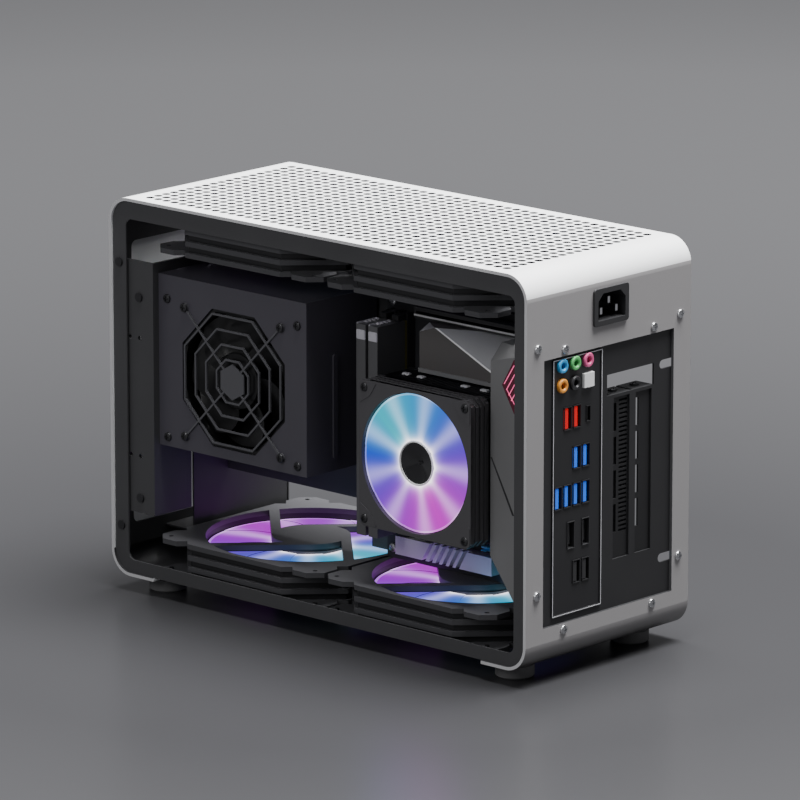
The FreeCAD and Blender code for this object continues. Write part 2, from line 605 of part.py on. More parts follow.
def build_slot_covers():
    thick = (f"{PLATE_FRONT} - cover_sheet", PLATE_FRONT)
    covers = []
    for index, x in enumerate(SLOTS):
        wide = around(x, "cover_wide")
        face = block(wide, thick, (f"{FLOOR} + slot_low - cover_slit", COVER_TOP))
        tab = block(wide, (LEDGE_SPAN[0], PLATE_FRONT), (LEDGE_TOP, COVER_TOP))
        slit_x = around(f"{x} + slot_wide / 2 - cover_slit", "cover_slit")
        slit_long = "cover_slit_pitch * 0.83"
        slits = [block(slit_x, grown(thick, 1),
                       around(f"{FLOOR} + slot_high - {step + 0.6} * cover_slit_pitch", slit_long))
                 for step in range(4)]
        rib_x = around(f"{x} - cover_slit", "slot_wide / 2")
        ribs = [block(rib_x, grown(thick, 1),
                      around(f"{FLOOR} + slot_high - {step + 1} * cover_rib_pitch", "cover_rib_pitch / 2"))
                for step in range(30)]
        hole = screw_hole("z", grown((LEDGE_TOP, COVER_TOP), 1), SLOT_SCREWS[index])
        covers.append(cut(fuse([face, tab]), slits + [hole] + (ribs if index == 0 else [])))
    node("slot_covers", group(covers))
    node("slot_screws", group([screw("z", COVER_TOP, 1, at) for at in SLOT_SCREWS]))


# Tray, brace and power supply bracket

def build_tray():
    thick = ("-frame_sheet", "0")
    rear = f"({PLATE_FRONT} - frame_sheet)"
    upper = block(thick, ("-tray_front", rear), (f"{FLOOR} + tray_gap", f"{FLOOR} + tray_top"))
    lower = block(thick, ("-tray_step", rear), (f"{FLOOR} + tray_low", f"{FLOOR} + tray_gap"))
    flange = block(("-frame_sheet - tray_flange", "0"), (rear, PLATE_FRONT),
                   (f"{FLOOR} + tray_gap", f"{FLOOR} + slot_high - slot_ledge"))
    node("tray", fuse([upper, lower, flange]))

    wide, thick = ("-brace_far", "brace_near"), ("-tray_front - frame_sheet", "-tray_front")
    face = block(wide, thick, (f"{FLOOR} + brace_low", f"{FLOOR} + brace_high"))
    foot_top = f"{IN_FLOOR} + (window_low + shell_bend) / 2"
    foot = block(wide, (FRONT_PLATE, "-tray_front"), (f"{foot_top} - frame_sheet", foot_top))
    hole = rod("y", "screw_shank", grown(thick, 1), ("screw_long - brace_far", f"{FLOOR} + tray_gap"))
    node("front_brace", cut(fuse([face, foot]), [hole]))


BRACKET_FACE = f"({RING_IN} - bracket_gap)"
BRACKET_SCREWS = [("-psu_front - 12", f"{FLOOR} + bracket_high - 23"),
                  ("-psu_front - 12", f"{FLOOR} + bracket_low + 10")]
MODULE_SIDE = "(psu_gap + psu_deep / 2)"
MODULE_UP = f"({PSU_LOW} + psu_high / 2)"


def build_bracket():
    height = (f"{FLOOR} + bracket_low", f"{FLOOR} + bracket_high")
    web = ("-psu_front - bracket_sheet", "-psu_front")
    sheet_x = (f"{BRACKET_FACE} - bracket_sheet", BRACKET_FACE)
    strip = block(sheet_x, (FRONT_PLATE, "-psu_front"), height)
    leg = block((f"{BRACKET_FACE} - bracket_leg", BRACKET_FACE), web, height)
    wall = block(("0", BRACKET_FACE), web, (PSU_LOW, height[1]))
    window = block(around(MODULE_SIDE, "module_wide + bracket_window / 2"), grown(web, 1),
                   around(MODULE_UP, "module_high + bracket_window"))
    skin = grown(sheet_x, 1)
    holes = [screw_hole("x", skin, at) for at in BRACKET_SCREWS]
    holes += [rod("x", "screw_shank", skin, (y, f"{PSU_LOW} + {up}"))
              for y in ("-psu_front - 12", "-psu_front - 20.5") for up in ("psu_high * 0.61", "-9")]
    node("psu_bracket", cut(fuse([strip, leg, wall]), [window] + holes))

    short = "frame_sheet + bracket_gap / 2"
    near = [screw("x", RING_OUT, 1, at, "frame_sheet", short) for at in RING_SCREWS]
    far = [screw("x", f"-{RING_OUT}", -1, at, "frame_sheet", short) for at in RING_SCREWS]
    held = [screw("x", BRACKET_FACE, 1, at, "frame_sheet") for at in BRACKET_SCREWS]
    node("frame_screws", group(near + far + held))


# Rear ports

def build_inlets():
    flange = rounded("y", around("0", "inlet_wide"), (REAR, f"{REAR} + shell_proud"),
                     around(INLET_UP, "inlet_high"), "inlet_rim")
    body = block(around("0", BODY_WIDE), (f"{REAR} - inlet_deep", REAR), around(INLET_UP, BODY_HIGH))
    inner_wide, inner_high = f"({BODY_WIDE} - 2 * inlet_wall)", f"({BODY_HIGH} - 2 * inlet_wall)"
    mouth = (f"{REAR} - inlet_deep + inlet_wall", f"{REAR} + shell_proud + 1")
    cavity = block(around("0", inner_wide), mouth, around(INLET_UP, inner_high))
    corners = [prism("y", 4, "inlet_bevel", grown(mouth, 1),
                     (f"{sign}{inner_wide} / 2", f"{INLET_UP} + {inner_high} / 2")) for sign in ("", "-")]
    node("power_inlet", cut(fuse([flange, body]), [cut(cavity, corners)]))
    spots = (("0", "pin_step"), ("pin_spread", "-pin_step"), ("-pin_spread", "-pin_step"))
    pins = [block(around(x, "pin_thick"), (mouth[0], f"{REAR} - 1"), around(f"{INLET_UP} + {up}", "pin_wide"))
            for x, up in spots]
    node("inlet_pins", group(pins))


def port_place(above, row):
    """Centre of a port from its height above the board and its place along the shield."""
    return f"({BOARD_FACE} + {above})", f"({SHIELD_LOW} + {row})"


def usb_level(step):
    return f"usb_first + {step} * usb_pitch"


RED_USB = [port_place(usb_level(step), "row_red") for step in (1, 2)]
BLUE_USB = [port_place(usb_level(step), "row_pair") for step in (0, 1)]
BLUE_USB += [port_place(usb_level(step), "row_quad") for step in range(4)]
BLACK_USB = [port_place(usb_level(step), "row_black") for step in (0, 1)]
SMALL_USB = port_place("usb_first - small_usb_high / 2", "row_red")
VIDEO = [port_place("usb_first", "row_video"), port_place(usb_level(1.6), "row_video")]
JACKS = [port_place(f"jack_first + {step} * jack_pitch", row)
         for row in ("jack_row", "jack_row + jack_rows") for step in range(3)]
OPTICAL = JACKS.pop(0)
PORT_BACK = f"({SHIELD_FACE} - port_deep)"
PORT_END = f"({SHIELD_FACE} + port_proud)"


def tube(at, wide, high):
    """A thin metal port shell that is open to the rear."""
    outer = block(around(at[0], high), (PORT_BACK, PORT_END), around(at[1], wide))
    inner = block(around(at[0], f"{high} - 2 * port_wall"), (f"{PORT_BACK} + port_wall", f"{PORT_END} + 1"),
                  around(at[1], f"{wide} - 2 * port_wall"))
    return cut(outer, [inner])


def tongue(at, wide, high):
    """The plastic tongue inside a port, on its outer side."""
    edge = f"{at[0]} + ({high}) / 2 - port_wall - fit_gap"
    return block((f"{edge} - usb_tongue", edge), (f"{PORT_BACK} + port_wall", f"{PORT_END} - usb_tongue"),
                 around(at[1], f"{wide} - usb_tongue"))


def build_ports():
    usb = RED_USB + BLUE_USB + BLACK_USB
    small = (SMALL_USB, "small_usb_wide", "small_usb_high")
    node("usb_shells", group([tube(at, "usb_wide", "usb_high") for at in usb] + [tube(*small)]))
    for colour, places in (("red", RED_USB), ("blue", BLUE_USB), ("black", BLACK_USB)):
        node(f"usb_tongues_{colour}", group([tongue(at, "usb_wide", "usb_high") for at in places]))
    video = []
    for at in VIDEO:
        plug = block(around(at[0], "usb_tongue"), (PORT_BACK, f"{PORT_END} - usb_tongue"),
                     around(at[1], "video_wide - 2 * usb_tongue"))
        video.append(fuse([tube(at, "video_wide", "video_high"), plug]))
    node("video_ports", group(video))

    back = BOARD_REAR
    stack = (BOARD_FACE, f"{BOARD_FACE} + jack_first + 2 * jack_pitch + jack_radius + 1")
    row = (f"{SHIELD_LOW} + jack_row - jack_rows / 2", f"{SHIELD_LOW} + jack_row + jack_rows + jack_radius")
    node("audio_block", block(stack, (f"{back} - port_deep", back), row))
    reach = (back, f"{SHIELD_FACE} + jack_proud")
    jacks = [cut(rod("y", "jack_radius", reach, at), [rod("y", "jack_bore", grown(reach, 1), at)])
             for at in JACKS]
    node("audio_jacks", group(jacks))
    edge = "2 * jack_radius"
    node("optical_port", block(around(OPTICAL[0], edge), reach, around(OPTICAL[1], edge)))

    filled = [(at, "usb_wide", "usb_high") for at in usb] + [small, (OPTICAL, edge, edge)]
    filled += [(at, "video_wide", "video_high") for at in VIDEO]
    build_shield(filled)


def build_shield(filled):
    span_x = (SHIELD_SIDE, f"{SHIELD_SIDE} + shield_wide")
    span_z = (SHIELD_LOW, f"{SHIELD_LOW} + shield_high")
    rim_y = (SHIELD_FACE, f"{SHIELD_FACE} + port_proud")
    plate = block(span_x, (PLATE_FRONT, SHIELD_FACE), span_z)
    inner = block(grown(span_x, "(-shield_rim)"), grown(rim_y, 1), grown(span_z, "(-shield_rim)"))
    rim = cut(block(span_x, rim_y, span_z), [inner])
    flange = block(grown(span_x, "shield_flange"), (f"{PLATE_FRONT} - shield_sheet", PLATE_FRONT),
                   grown(span_z, "shield_flange"))
    through = grown((f"{PLATE_FRONT} - shield_sheet", SHIELD_FACE), 1)
    openings = [block(around(at[0], f"{high} + 2 * fit_gap"), through, around(at[1], f"{wide} + 2 * fit_gap"))
                for at, wide, high in filled]
    openings += [rod("y", "jack_radius + fit_gap", through, at) for at in JACKS]
    node("io_shield", cut(fuse([plate, rim, flange]), openings))


# Board and what stands on it

BOARD_HOLES = [(f"{BOARD_REAR} - board_hole_rear - {step} * board_hole_span", up) for step in (0, 1)
               for up in (f"{BOARD_LOW} + board_hole_side", f"{BOARD_HIGH} - board_hole_side")]
DIMM_LOW = f"({BOARD_LOW} + dimm_low)"
DIMM_TOP = f"({BOARD_LOW} + dimm_low + dimm_long)"
STICK_LOW = f"({DIMM_LOW} + dimm_end)"
STICK_TOP = f"({STICK_LOW} + stick_long)"
STICK_FOOT = f"({BOARD_FACE} + dimm_high - stick_seat)"
LATCH_LOW = f"({STICK_TOP} + latch_gap)"
LATCH_PIN = f"({LATCH_LOW} + latch_thick / 2)"
DIMMS = [f"({BOARD_FRONT} + dimm_first + {step} * dimm_pitch)" for step in (0, 1)]


def build_board():
    thick = ("standoff_high", BOARD_FACE)
    holes = [screw_hole("x", grown(thick, 1), at) for at in BOARD_HOLES]
    node("motherboard", cut(block(thick, (BOARD_FRONT, BOARD_REAR), (BOARD_LOW, BOARD_HIGH)), holes))
    node("standoffs", group([cut(rod("x", "standoff_radius", ("0", "standoff_high"), at),
                                 [screw_hole("x", ("-1", "standoff_high + 1"), at)]) for at in BOARD_HOLES]))
    node("board_screws", group([screw("x", BOARD_FACE, 1, at) for at in BOARD_HOLES]))
    node("cpu", block((BOARD_FACE, f"{BOARD_FACE} + cpu_high"), around("cooler_along", "cpu_size"),
                      around(f"{FLOOR} + cooler_up", "cpu_size")))


def build_memory():
    slots, sticks = [], []
    slot_top = f"({BOARD_FACE} + dimm_high)"
    stick_edge = f"({STICK_FOOT} + stick_high)"
    pivot = (f"{BOARD_FACE} + latch_up", LATCH_PIN)
    for index, y in enumerate(DIMMS, 1):
        body = block((BOARD_FACE, slot_top), around(y, "dimm_wide"), (DIMM_LOW, DIMM_TOP))
        groove = block((f"{STICK_FOOT} - screw_play", f"{slot_top} + 1"),
                       around(y, "stick_board + 2 * screw_play"),
                       (f"{STICK_LOW} - screw_play", f"{DIMM_TOP} + 1"))
        pocket = block((f"{BOARD_FACE} + latch_gap", f"{slot_top} + 1"), around(y, "latch_wide + latch_gap"),
                       (f"{LATCH_LOW} - 2 * latch_gap", f"{DIMM_TOP} + 1"))
        bore = rod("y", "latch_pin + fan_play", around(y, "dimm_wide + 2"), pivot)
        slots.append(cut(body, [groove, pocket, bore]))
        card = block((STICK_FOOT, stick_edge), around(y, "stick_board"), (STICK_LOW, STICK_TOP))
        spreader = block((f"{slot_top} + latch_gap", stick_edge), around(y, "stick_thick"),
                         (STICK_LOW, STICK_TOP))
        sticks.append(fuse([card, spreader]))
        lever = block((f"{BOARD_FACE} + latch_up - latch_pin - latch_gap", f"{BOARD_FACE} + latch_high"),
                      around(y, "latch_wide"), (LATCH_LOW, f"{LATCH_LOW} + latch_thick"))
        pin = rod("y", "latch_pin", around(y, "dimm_wide - 2 * screw_play"), pivot)
        node(f"dimm_latch_{index}", fuse([lever, pin]))
    node("dimm_slots", group(slots))
    node("ram_sticks", group(sticks))


def build_board_pieces():
    slot_y = (f"{BOARD_REAR} - pcie_from_rear - pcie_long", f"{BOARD_REAR} - pcie_from_rear")
    slot_z = (f"{BOARD_HIGH} - pcie_edge - pcie_wide", f"{BOARD_HIGH} - pcie_edge")
    socket = block((BOARD_FACE, f"{BOARD_FACE} + pcie_high"), slot_y, slot_z)
    slit = block((f"{BOARD_FACE} + 2", f"{BOARD_FACE} + pcie_high + 1"), grown(slot_y, "(-2)"),
                 around(f"{BOARD_HIGH} - pcie_edge - pcie_wide / 2", "pcie_slit"))
    node("pcie_slot", cut(socket, [slit]))

    drive_front = f"({BOARD_FRONT} + drive_from_front)"
    drive_low = f"({BOARD_LOW} + drive_edge)"
    top = f"({BOARD_FACE} + drive_high)"
    plate = block((BOARD_FACE, top), (drive_front, f"{drive_front} + drive_long"),
                  (drive_low, f"{drive_low} + drive_wide"))
    grooves = []
    for step in range(6):
        start = f"{drive_front} + drive_groove_start + {step} * drive_groove_pitch"
        groove = block((f"{top} - drive_high / 2", f"{top} + 1"), (start, f"{start} + drive_groove"),
                       (f"{drive_low} - drive_wide", f"{drive_low} + 2 * drive_wide"))
        groove.Placement = FreeCAD.Placement(FreeCAD.Vector(), FreeCAD.Rotation(FreeCAD.Vector(1, 0, 0), -30))
        grooves.append(groove)
    node("m2_heatsink", cut(plate, grooves))

    header_y = around(f"{BOARD_REAR} - cover_front - header_wide", "header_wide")
    headers = [block((BOARD_FACE, f"{BOARD_FACE} + header_high"), header_y,
                     around(f"{BOARD_LOW} + {step} * header_wide", "header_wide")) for step in (1, 3)]
    node("board_headers", group(headers))


def build_io_cover():
    rear, front = f"({BOARD_REAR} - cover_back)", f"({BOARD_REAR} - cover_front)"
    top = f"({BOARD_FACE} + cover_high)"
    low, high = f"({BOARD_LOW} + cover_low)", f"({BOARD_HIGH} - cover_top)"
    tower = bevelled((BOARD_FACE, top), (front, rear), (low, high), "0", 1)
    cavity = bevelled((f"{BOARD_FACE} - 1", f"{top} - cover_wall"), (f"{front} + cover_wall", f"{rear} + 1"),
                      (f"{low} + cover_wall", f"{high} - cover_wall"), "cover_wall * (2 - sqrt(2))", 0.95)
    arm_x, arm_y = f"({BOARD_FACE} + arm_high)", f"({BOARD_REAR} - arm_front)"
    arm_top = f"({BOARD_HIGH} - pcie_edge - pcie_wide - latch_gap)"
    arm_z = (f"{arm_top} - arm_wide", arm_top)
    arm = block((BOARD_FACE, arm_x), (arm_y, f"{front} + cover_wall"), arm_z)
    facets = [prism("y", 4, "arm_bevel", grown((arm_y, front), 1), (arm_x, arm_z[1])),
              prism("z", 4, "arm_bevel", grown(arm_z, 1), (arm_x, arm_y))]
    reliefs = [rod("x", "screw_head + 1", (f"{BOARD_FACE} - 1", f"{BOARD_FACE} + drive_high"), at)
               for at in BOARD_HOLES[:2]]
    node("io_cover", cut(fuse([tower, cut(arm, facets)]), [cavity] + reliefs))


def bevelled(x, y, z, less, share):
    """A box with a narrow bevel on two near edges and a slanted lower front corner."""
    front = prism("z", 4, f"cover_bevel - {less}", grown(z, 1), (x[1], y[0]))
    roof = prism("y", 4, f"cover_ease - {less}", grown(y, 1), (x[1], z[1]))
    slope, rise = f"({share} * cover_slope)", f"({share} * cover_rise)"
    lean = math.degrees(math.atan2(value("cover_rise"), value("cover_slope")))
    start_y, start_z = f"{y[0]} - {rise} * sin({lean})", f"{z[0]} + {rise} - {rise} * cos({lean})"
    slant = block(grown(x, 1), (start_y, f"{start_y} + sqrt({slope}^2 + {rise}^2)"),
                  (start_z, f"{start_z} + {rise}"))
    slant.Placement = FreeCAD.Placement(FreeCAD.Vector(), FreeCAD.Rotation(FreeCAD.Vector(1, 0, 0), -lean))
    return cut(block(x, y, z), [front, roof, slant])


def build_cooler():
    foot_low = f"({BOARD_FACE} + cpu_high)"
    base_low = f"({foot_low} + cooler_foot_high)"
    fin_low = f"({base_low} + cooler_base)"
    fin_top = f"({fin_low} + fin_high)"
    y, z = "cooler_along", f"({FLOOR} + cooler_up)"
    foot = block((foot_low, base_low), around(y, "cooler_foot"), around(z, "cooler_foot"))
    base = block((base_low, fin_low), around(y, "cooler_size"), around(z, "cooler_size"))
    count = int((value("cooler_size") - value("fin_thick")) / value("fin_pitch")) + 1
    fins = [block((fin_low, fin_top), around(f"{y} + ({index} - {count - 1} / 2) * fin_pitch", "fin_thick"),
                  around(z, "cooler_size")) for index in range(count)]
    node("cooler_heatsink", fuse([foot, base] + fins))

    face = f"({fin_top} + cooler_fan_thick)"
    node("cooler_fan_frame", copy(fan_frame("cooler_fan"), face, y, z, TURNS["-x"]))
    node("cooler_fan_rotor", copy(fan_rotor("cooler_fan", 9), face, y, z, TURNS["-x"]))
    node("cooler_screws", group([screw("x", face, 1, at) for at in corners(y, z, "cooler_fan_holes")]))


# Fans

def octagon(half, corner, z):
    """A square plate whose corners are cut at 45 degrees."""
    square = block((f"-{half}", half), (f"-{half}", half), z)
    diamond = block((f"-{corner}", corner), (f"-{corner}", corner), z)
    diamond.Placement = FreeCAD.Placement(FreeCAD.Vector(), FreeCAD.Rotation(FreeCAD.Vector(0, 0, 1), 45))
    place(diamond, "0", f"-{corner} * sqrt(2)", z[0])
    return shared([square, diamond])


DIAGONALS = (45, 135, 225, 315)


def fan_frame(kind):
    """A fan frame around the Z axis from Z = 0, banded on its sides, with its struts at the top."""
    half, thick, band, groove = f"({kind}_size / 2)", f"{kind}_thick", f"{kind}_band", f"{kind}_groove"
    web = (f"{thick} - {kind}_web", thick)
    lows = [f"{step} * ({thick} - {band}) / 3" for step in range(4)]
    bands = [(low, f"{low} + {band}") for low in lows]
    outline = [octagon(half, f"{kind}_corner", span) for span in bands]
    outline.append(octagon(f"({half} - {groove})", f"({kind}_corner - {groove})", ("0", thick)))
    for span in (bands[0], bands[-1]):
        side = (f"-{kind}_ear", f"{kind}_ear")
        cross = fuse([spoke(angle, f"{kind}_size", side, span) for angle in DIAGONALS])
        outline.append(shared([octagon(half, f"{kind}_tip", span), cross]))
    ring = cut(fuse(outline), [rod("z", f"{kind}_bore", grown(("0", thick), 1), ("0", "0"))])
    side = (f"{kind}_hub - {kind}_strut", f"{kind}_hub")
    struts = [spoke(angle, f"{kind}_bore", side, web) for angle in DIAGONALS]
    hub = rod("z", f"{kind}_hub", web, ("0", "0"))
    holes = [screw_hole("z", grown(("0", thick), 1), at) for at in corners("0", "0", f"{kind}_holes")]
    bearing = rod("z", "fan_shaft + fan_play", (f"{web[0]} - 1", f"{thick} - 1"), ("0", "0"))
    return cut(fuse([ring, hub] + struts), holes + [bearing])


def fan_rotor(kind, blades):
    """A fan rotor around the Z axis that runs inside its frame."""
    low, high = "(2 * fan_gap)", f"({kind}_thick - {kind}_web - fan_gap)"
    tip, root = f"({kind}_bore - fan_gap)", f"({kind}_hub - fan_gap)"
    tilt, chord, middle = f"{kind}_tilt", f"{kind}_chord", f"(({low} + {high}) / 2)"
    blade = doc.addObject("Part::Box", "blade")
    lean = FreeCAD.Rotation(FreeCAD.Vector(1, 0, 0), value(tilt))
    blade.Placement = FreeCAD.Placement(FreeCAD.Vector(), lean)
    bind(blade, Length=f"{tip} + 2", Width=chord, Height="blade_thick")
    place(blade, "0", f"blade_thick / 2 * sin({tilt}) - {chord} / 2 * cos({tilt})",
          f"{middle} - {chord} / 2 * sin({tilt}) - blade_thick / 2 * cos({tilt})")
    turned = [copy(blade, turn=FreeCAD.Rotation(FreeCAD.Vector(0, 0, 1), 360 * index / blades))
              for index in range(blades)]
    sweep = cut(rod("z", tip, (low, high), ("0", "0")), [rod("z", f"{root} - 1", (low, high), ("0", "0"))])
    trimmed = [shared([single, sweep]) for single in turned]
    hub = rod("z", root, (low, high), ("0", "0"))
    shaft = rod("z", "fan_shaft", (high, f"{kind}_thick - 1 - 6 * fan_play"), ("0", "0"))
    return fuse([hub, shaft] + trimmed)


def build_case_fans():
    frame, rotor = fan_frame("case_fan"), fan_rotor("case_fan", 9)
    for level, z in (("top", TOP_FAN), ("bottom", LOW_FAN)):
        for index, y in enumerate(FAN_ROWS, 1):
            node(f"{level}_fan_frame_{index}", copy(frame, "0", y, z))
            node(f"{level}_fan_rotor_{index}", copy(rotor, "0", y, z))
    top = [screw("z", TOP_STRIP[1], 1, at) for at in FAN_HOLES]
    low = [screw("z", LOW_STRIP[0], -1, at) for at in FAN_HOLES]
    node("fan_screws", group(top + low))


# Power supply

PSU_SPAN = (("psu_gap", PSU_FACE), ("-psu_front", "psu_long - psu_front"), (PSU_LOW, f"{PSU_LOW} + psu_high"))
PSU_FAN = ("(psu_fan_from_front - psu_front)", f"({PSU_LOW} + psu_fan_up)")
PSU_FAN_SCREWS = corners(*PSU_FAN, "psu_fan_holes")
PSU_CASE_SCREWS = corners("psu_long / 2 - psu_front", PSU_FAN[1], "psu_screw_long", "psu_screw_high")


def build_psu():
    x, y, z = PSU_SPAN
    wall = grown((f"{PSU_FACE} - psu_wall", PSU_FACE), 1)
    hollow = block(*[grown(span, "(-psu_wall)") for span in PSU_SPAN])
    opening = prism("x", 8, "psu_opening / 2 / cos(22.5)", wall, PSU_FAN)
    opening.Placement = FreeCAD.Placement(FreeCAD.Vector(), TURNS["x"].multiply(EIGHTH))
    module = block(around(MODULE_SIDE, "module_wide"), grown(("-psu_front", "psu_wall - psu_front"), 1),
                   around(MODULE_UP, "module_high"))
    holes = [screw_hole("x", wall, at) for at in PSU_FAN_SCREWS + PSU_CASE_SCREWS]
    bead = rounded("y", around(f"{PSU_FACE} - bead_from_face", "bead_wide"), (y[1], f"{y[1]} + psu_wall"),
                   (f"{PSU_LOW} + bead_low", f"{PSU_LOW} + bead_low + bead_long"),
                   "(bead_wide / 2 - screw_play)")
    node("psu_case", fuse([cut(block(x, y, z), [hollow, opening, module] + holes), bead]))

    inside = f"({PSU_FACE} - psu_wall)"
    node("psu_fan_frame", copy(fan_frame("psu_fan"), inside, *PSU_FAN, TURNS["-x"]))
    node("psu_fan_rotor", copy(fan_rotor("psu_fan", 7), inside, *PSU_FAN, TURNS["-x"]))
    node("psu_grille", copy(grille(), PSU_FACE, *PSU_FAN, TURNS["x"]))
    on_grille = [screw("x", f"{PSU_FACE} + grille_wire", 1, at) for at in PSU_FAN_SCREWS]
    node("psu_screws", group(on_grille + [screw("x", PSU_FACE, 1, at) for at in PSU_CASE_SCREWS]))


EIGHTH = FreeCAD.Rotation(FreeCAD.Vector(0, 0, 1), 22.5)


def grille():
    """A wire grille around the Z axis with a plain plate in its middle."""
    wire, through = ("0", "grille_wire"), grown(("0", "grille_wire"), 1)
    plate = prism("z", 6, "grille_plate", wire, ("0", "0"))
    rings = []
    for step in range(4):
        half = f"(grille_ring + {step} * grille_step)"
        rings.append(cut(prism("z", 8, f"({half} + grille_wire) / cos(22.5)", wire, ("0", "0")),
                         [prism("z", 8, f"{half} / cos(22.5)", through, ("0", "0"))]))
    rings = [copy(ring, turn=EIGHTH) for ring in rings]
    side = ("-grille_wire / 2", "grille_wire / 2")
    wires = [spoke(angle, "psu_fan_holes / sqrt(2)", side, wire) for angle in DIAGONALS]
    places = corners("0", "0", "psu_fan_holes")
    eyes = [rod("z", "screw_head", wire, at) for at in places]
    return cut(fuse([plate] + rings + wires + eyes), [screw_hole("z", through, at) for at in places])


def build_psu_inside():
    x, y, z = PSU_SPAN
    rocker_up = f"({MODULE_UP} + module_high / 4)"
    body = block(around(MODULE_SIDE, "module_wide - 2 * fit_gap"), ("-psu_front", "inlet_deep - psu_front"),
                 around(MODULE_UP, "module_high - 2 * fit_gap"))
    rim = block(around(MODULE_SIDE, "module_wide + 2 * inlet_rim"), ("-psu_front - inlet_wall", "-psu_front"),
                around(MODULE_UP, "module_high + 2 * inlet_rim"))
    mouth = "-psu_front - 3"
    cavity = block(around(MODULE_SIDE, "module_wide - 2 * inlet_rim"),
                   (mouth, "inlet_deep - inlet_rim - psu_front"),
                   (f"{MODULE_UP} - module_high / 2 + inlet_rim", f"{MODULE_UP} - inlet_wall"))
    well = block(around(MODULE_SIDE, "rocker_wide + 1"), (mouth, "inlet_deep - 2 * inlet_rim - psu_front"),
                 around(rocker_up, "rocker_high + 3"))
    pivot = ("rocker_sunk - psu_front", rocker_up)
    bore = rod("x", "rocker_pin + fan_play", around(MODULE_SIDE, "rocker_wide + 6"), pivot)
    node("psu_inlet", cut(fuse([body, rim]), [cavity, well, bore]))
    cap = block(around(MODULE_SIDE, "rocker_wide"),
                ("-psu_front - rocker_sunk / 2", "2 * rocker_sunk - psu_front"),
                around(rocker_up, "rocker_high"))
    pin = rod("x", "rocker_pin", around(MODULE_SIDE, "rocker_wide + 5.6"), pivot)
    node("psu_switch", fuse([cap, pin]))

    base = f"({x[0]} + psu_wall)"
    face = f"({base} + board_thick)"
    room = (f"{y[0]} + 1.5 * inlet_deep", f"{y[1]} - 2 * psu_wall")
    card = block((base, face), room, grown(z, "(-2 * psu_wall)"))
    lumps = [block((face, f"{face} + {high}"), (f"{room[0]} + {start}", f"{room[0]} + {start + long}"),
                   (f"{z[0]} + {low}", f"{z[0]} + {low + wide}"))
             for high, start, long, low, wide in PSU_LUMPS]
    node("psu_board", fuse([card] + lumps))


# Height, start, length, lower edge and width of the tall pieces on the inner board
PSU_LUMPS = ((30, 8, 30, 12, 34), (26, 46, 22, 20, 60), (34, 8, 14, 56, 40), (22, 72, 14, 10, 84))


# Power button

def build_button():
    front = f"(-{IN_REAR})"
    end = f"({front} + button_deep)"
    shell = rod("y", HOUSING_RADIUS, (front, end), ("0", BUTTON_UP))
    well = rod("y", "button_radius + button_gap", (f"{front} - 1", f"{end} - button_wall"), ("0", BUTTON_UP))
    node("button_housing", cut(shell, [well]))
    tip = f"(-{REAR} - shell_proud)"
    node("power_button", rod("y", "button_radius", (tip, f"{tip} + button_long"), ("0", BUTTON_UP)))


def check(thing):
    """Stops the build where a piece failed."""
    bad = {"Invalid", "Error"} & set(thing.State)
    if bad or thing.Shape.isNull() or not thing.Shape.isValid():
        raise RuntimeError(f"{thing.Label} did not build")


build_shell()
build_side_frames()
build_front_plate()
build_rear_plate()
build_slot_covers()
build_tray()
build_bracket()
build_inlets()
build_ports()
build_board()
build_memory()
build_board_pieces()
build_io_cover()
build_cooler()
build_case_fans()
build_psu()
build_psu_inside()
build_button()
doc.recompute()

os.makedirs("parts", exist_ok=True)
for piece in NODES:
    check(piece)
    piece.Shape.exportStep(f"parts/{piece.Label}.step")
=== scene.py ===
import math

import bmesh
import bpy
from mathutils import Matrix, Vector


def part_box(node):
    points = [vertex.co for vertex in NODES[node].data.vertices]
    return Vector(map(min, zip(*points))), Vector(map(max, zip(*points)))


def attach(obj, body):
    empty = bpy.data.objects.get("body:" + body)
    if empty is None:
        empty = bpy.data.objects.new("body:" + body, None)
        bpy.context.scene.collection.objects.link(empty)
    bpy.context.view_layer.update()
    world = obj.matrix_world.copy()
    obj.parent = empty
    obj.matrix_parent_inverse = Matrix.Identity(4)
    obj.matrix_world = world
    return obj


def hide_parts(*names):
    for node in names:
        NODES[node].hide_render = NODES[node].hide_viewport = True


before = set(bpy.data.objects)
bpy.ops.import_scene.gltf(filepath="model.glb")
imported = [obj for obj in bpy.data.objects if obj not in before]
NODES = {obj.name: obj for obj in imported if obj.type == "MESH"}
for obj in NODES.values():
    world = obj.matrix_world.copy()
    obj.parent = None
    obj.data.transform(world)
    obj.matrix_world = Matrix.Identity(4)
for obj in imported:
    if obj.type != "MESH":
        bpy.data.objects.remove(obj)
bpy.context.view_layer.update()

MM = 0.001

# Sockets of the colour mix node
MIX_FIRST, MIX_SECOND, MIX_RESULT = 6, 7, 2

# Where the photograph's camera stands
VIEW_AZIMUTH = 132.707
VIEW_ELEVATION = 13.747
VIEW_DISTANCE = 4.221
VIEW_TARGET = Vector((0.0, 0.0, 0.132))
VIEW_LENS = 306.43
VIEW_SHIFT = (0.00546, 0.01036)
SENSOR_WIDTH = 36


# Node material helpers

CLOUD_SHARE, GRAIN_SHARE = 0.6, 0.4
BUMP_DEPTH = 0.4 * MM


def srgb(red, green, blue):
    """A linear colour with full alpha from 0 to 255 screen values."""
    def linear(level):
        share = level / 255
        return share / 12.92 if share <= 0.04045 else ((share + 0.055) / 1.055) ** 2.4
    return (linear(red), linear(green), linear(blue), 1.0)


def tint(colour, factor):
    """A colour made lighter or darker."""
    return tuple(min(1.0, part * factor) for part in colour[:3]) + (1.0,)


def new_material(name):
    """A node material with its tree and its shader."""
    material = bpy.data.materials.new(name)
    material.use_nodes = True
    return material, material.node_tree, material.node_tree.nodes["Principled BSDF"]


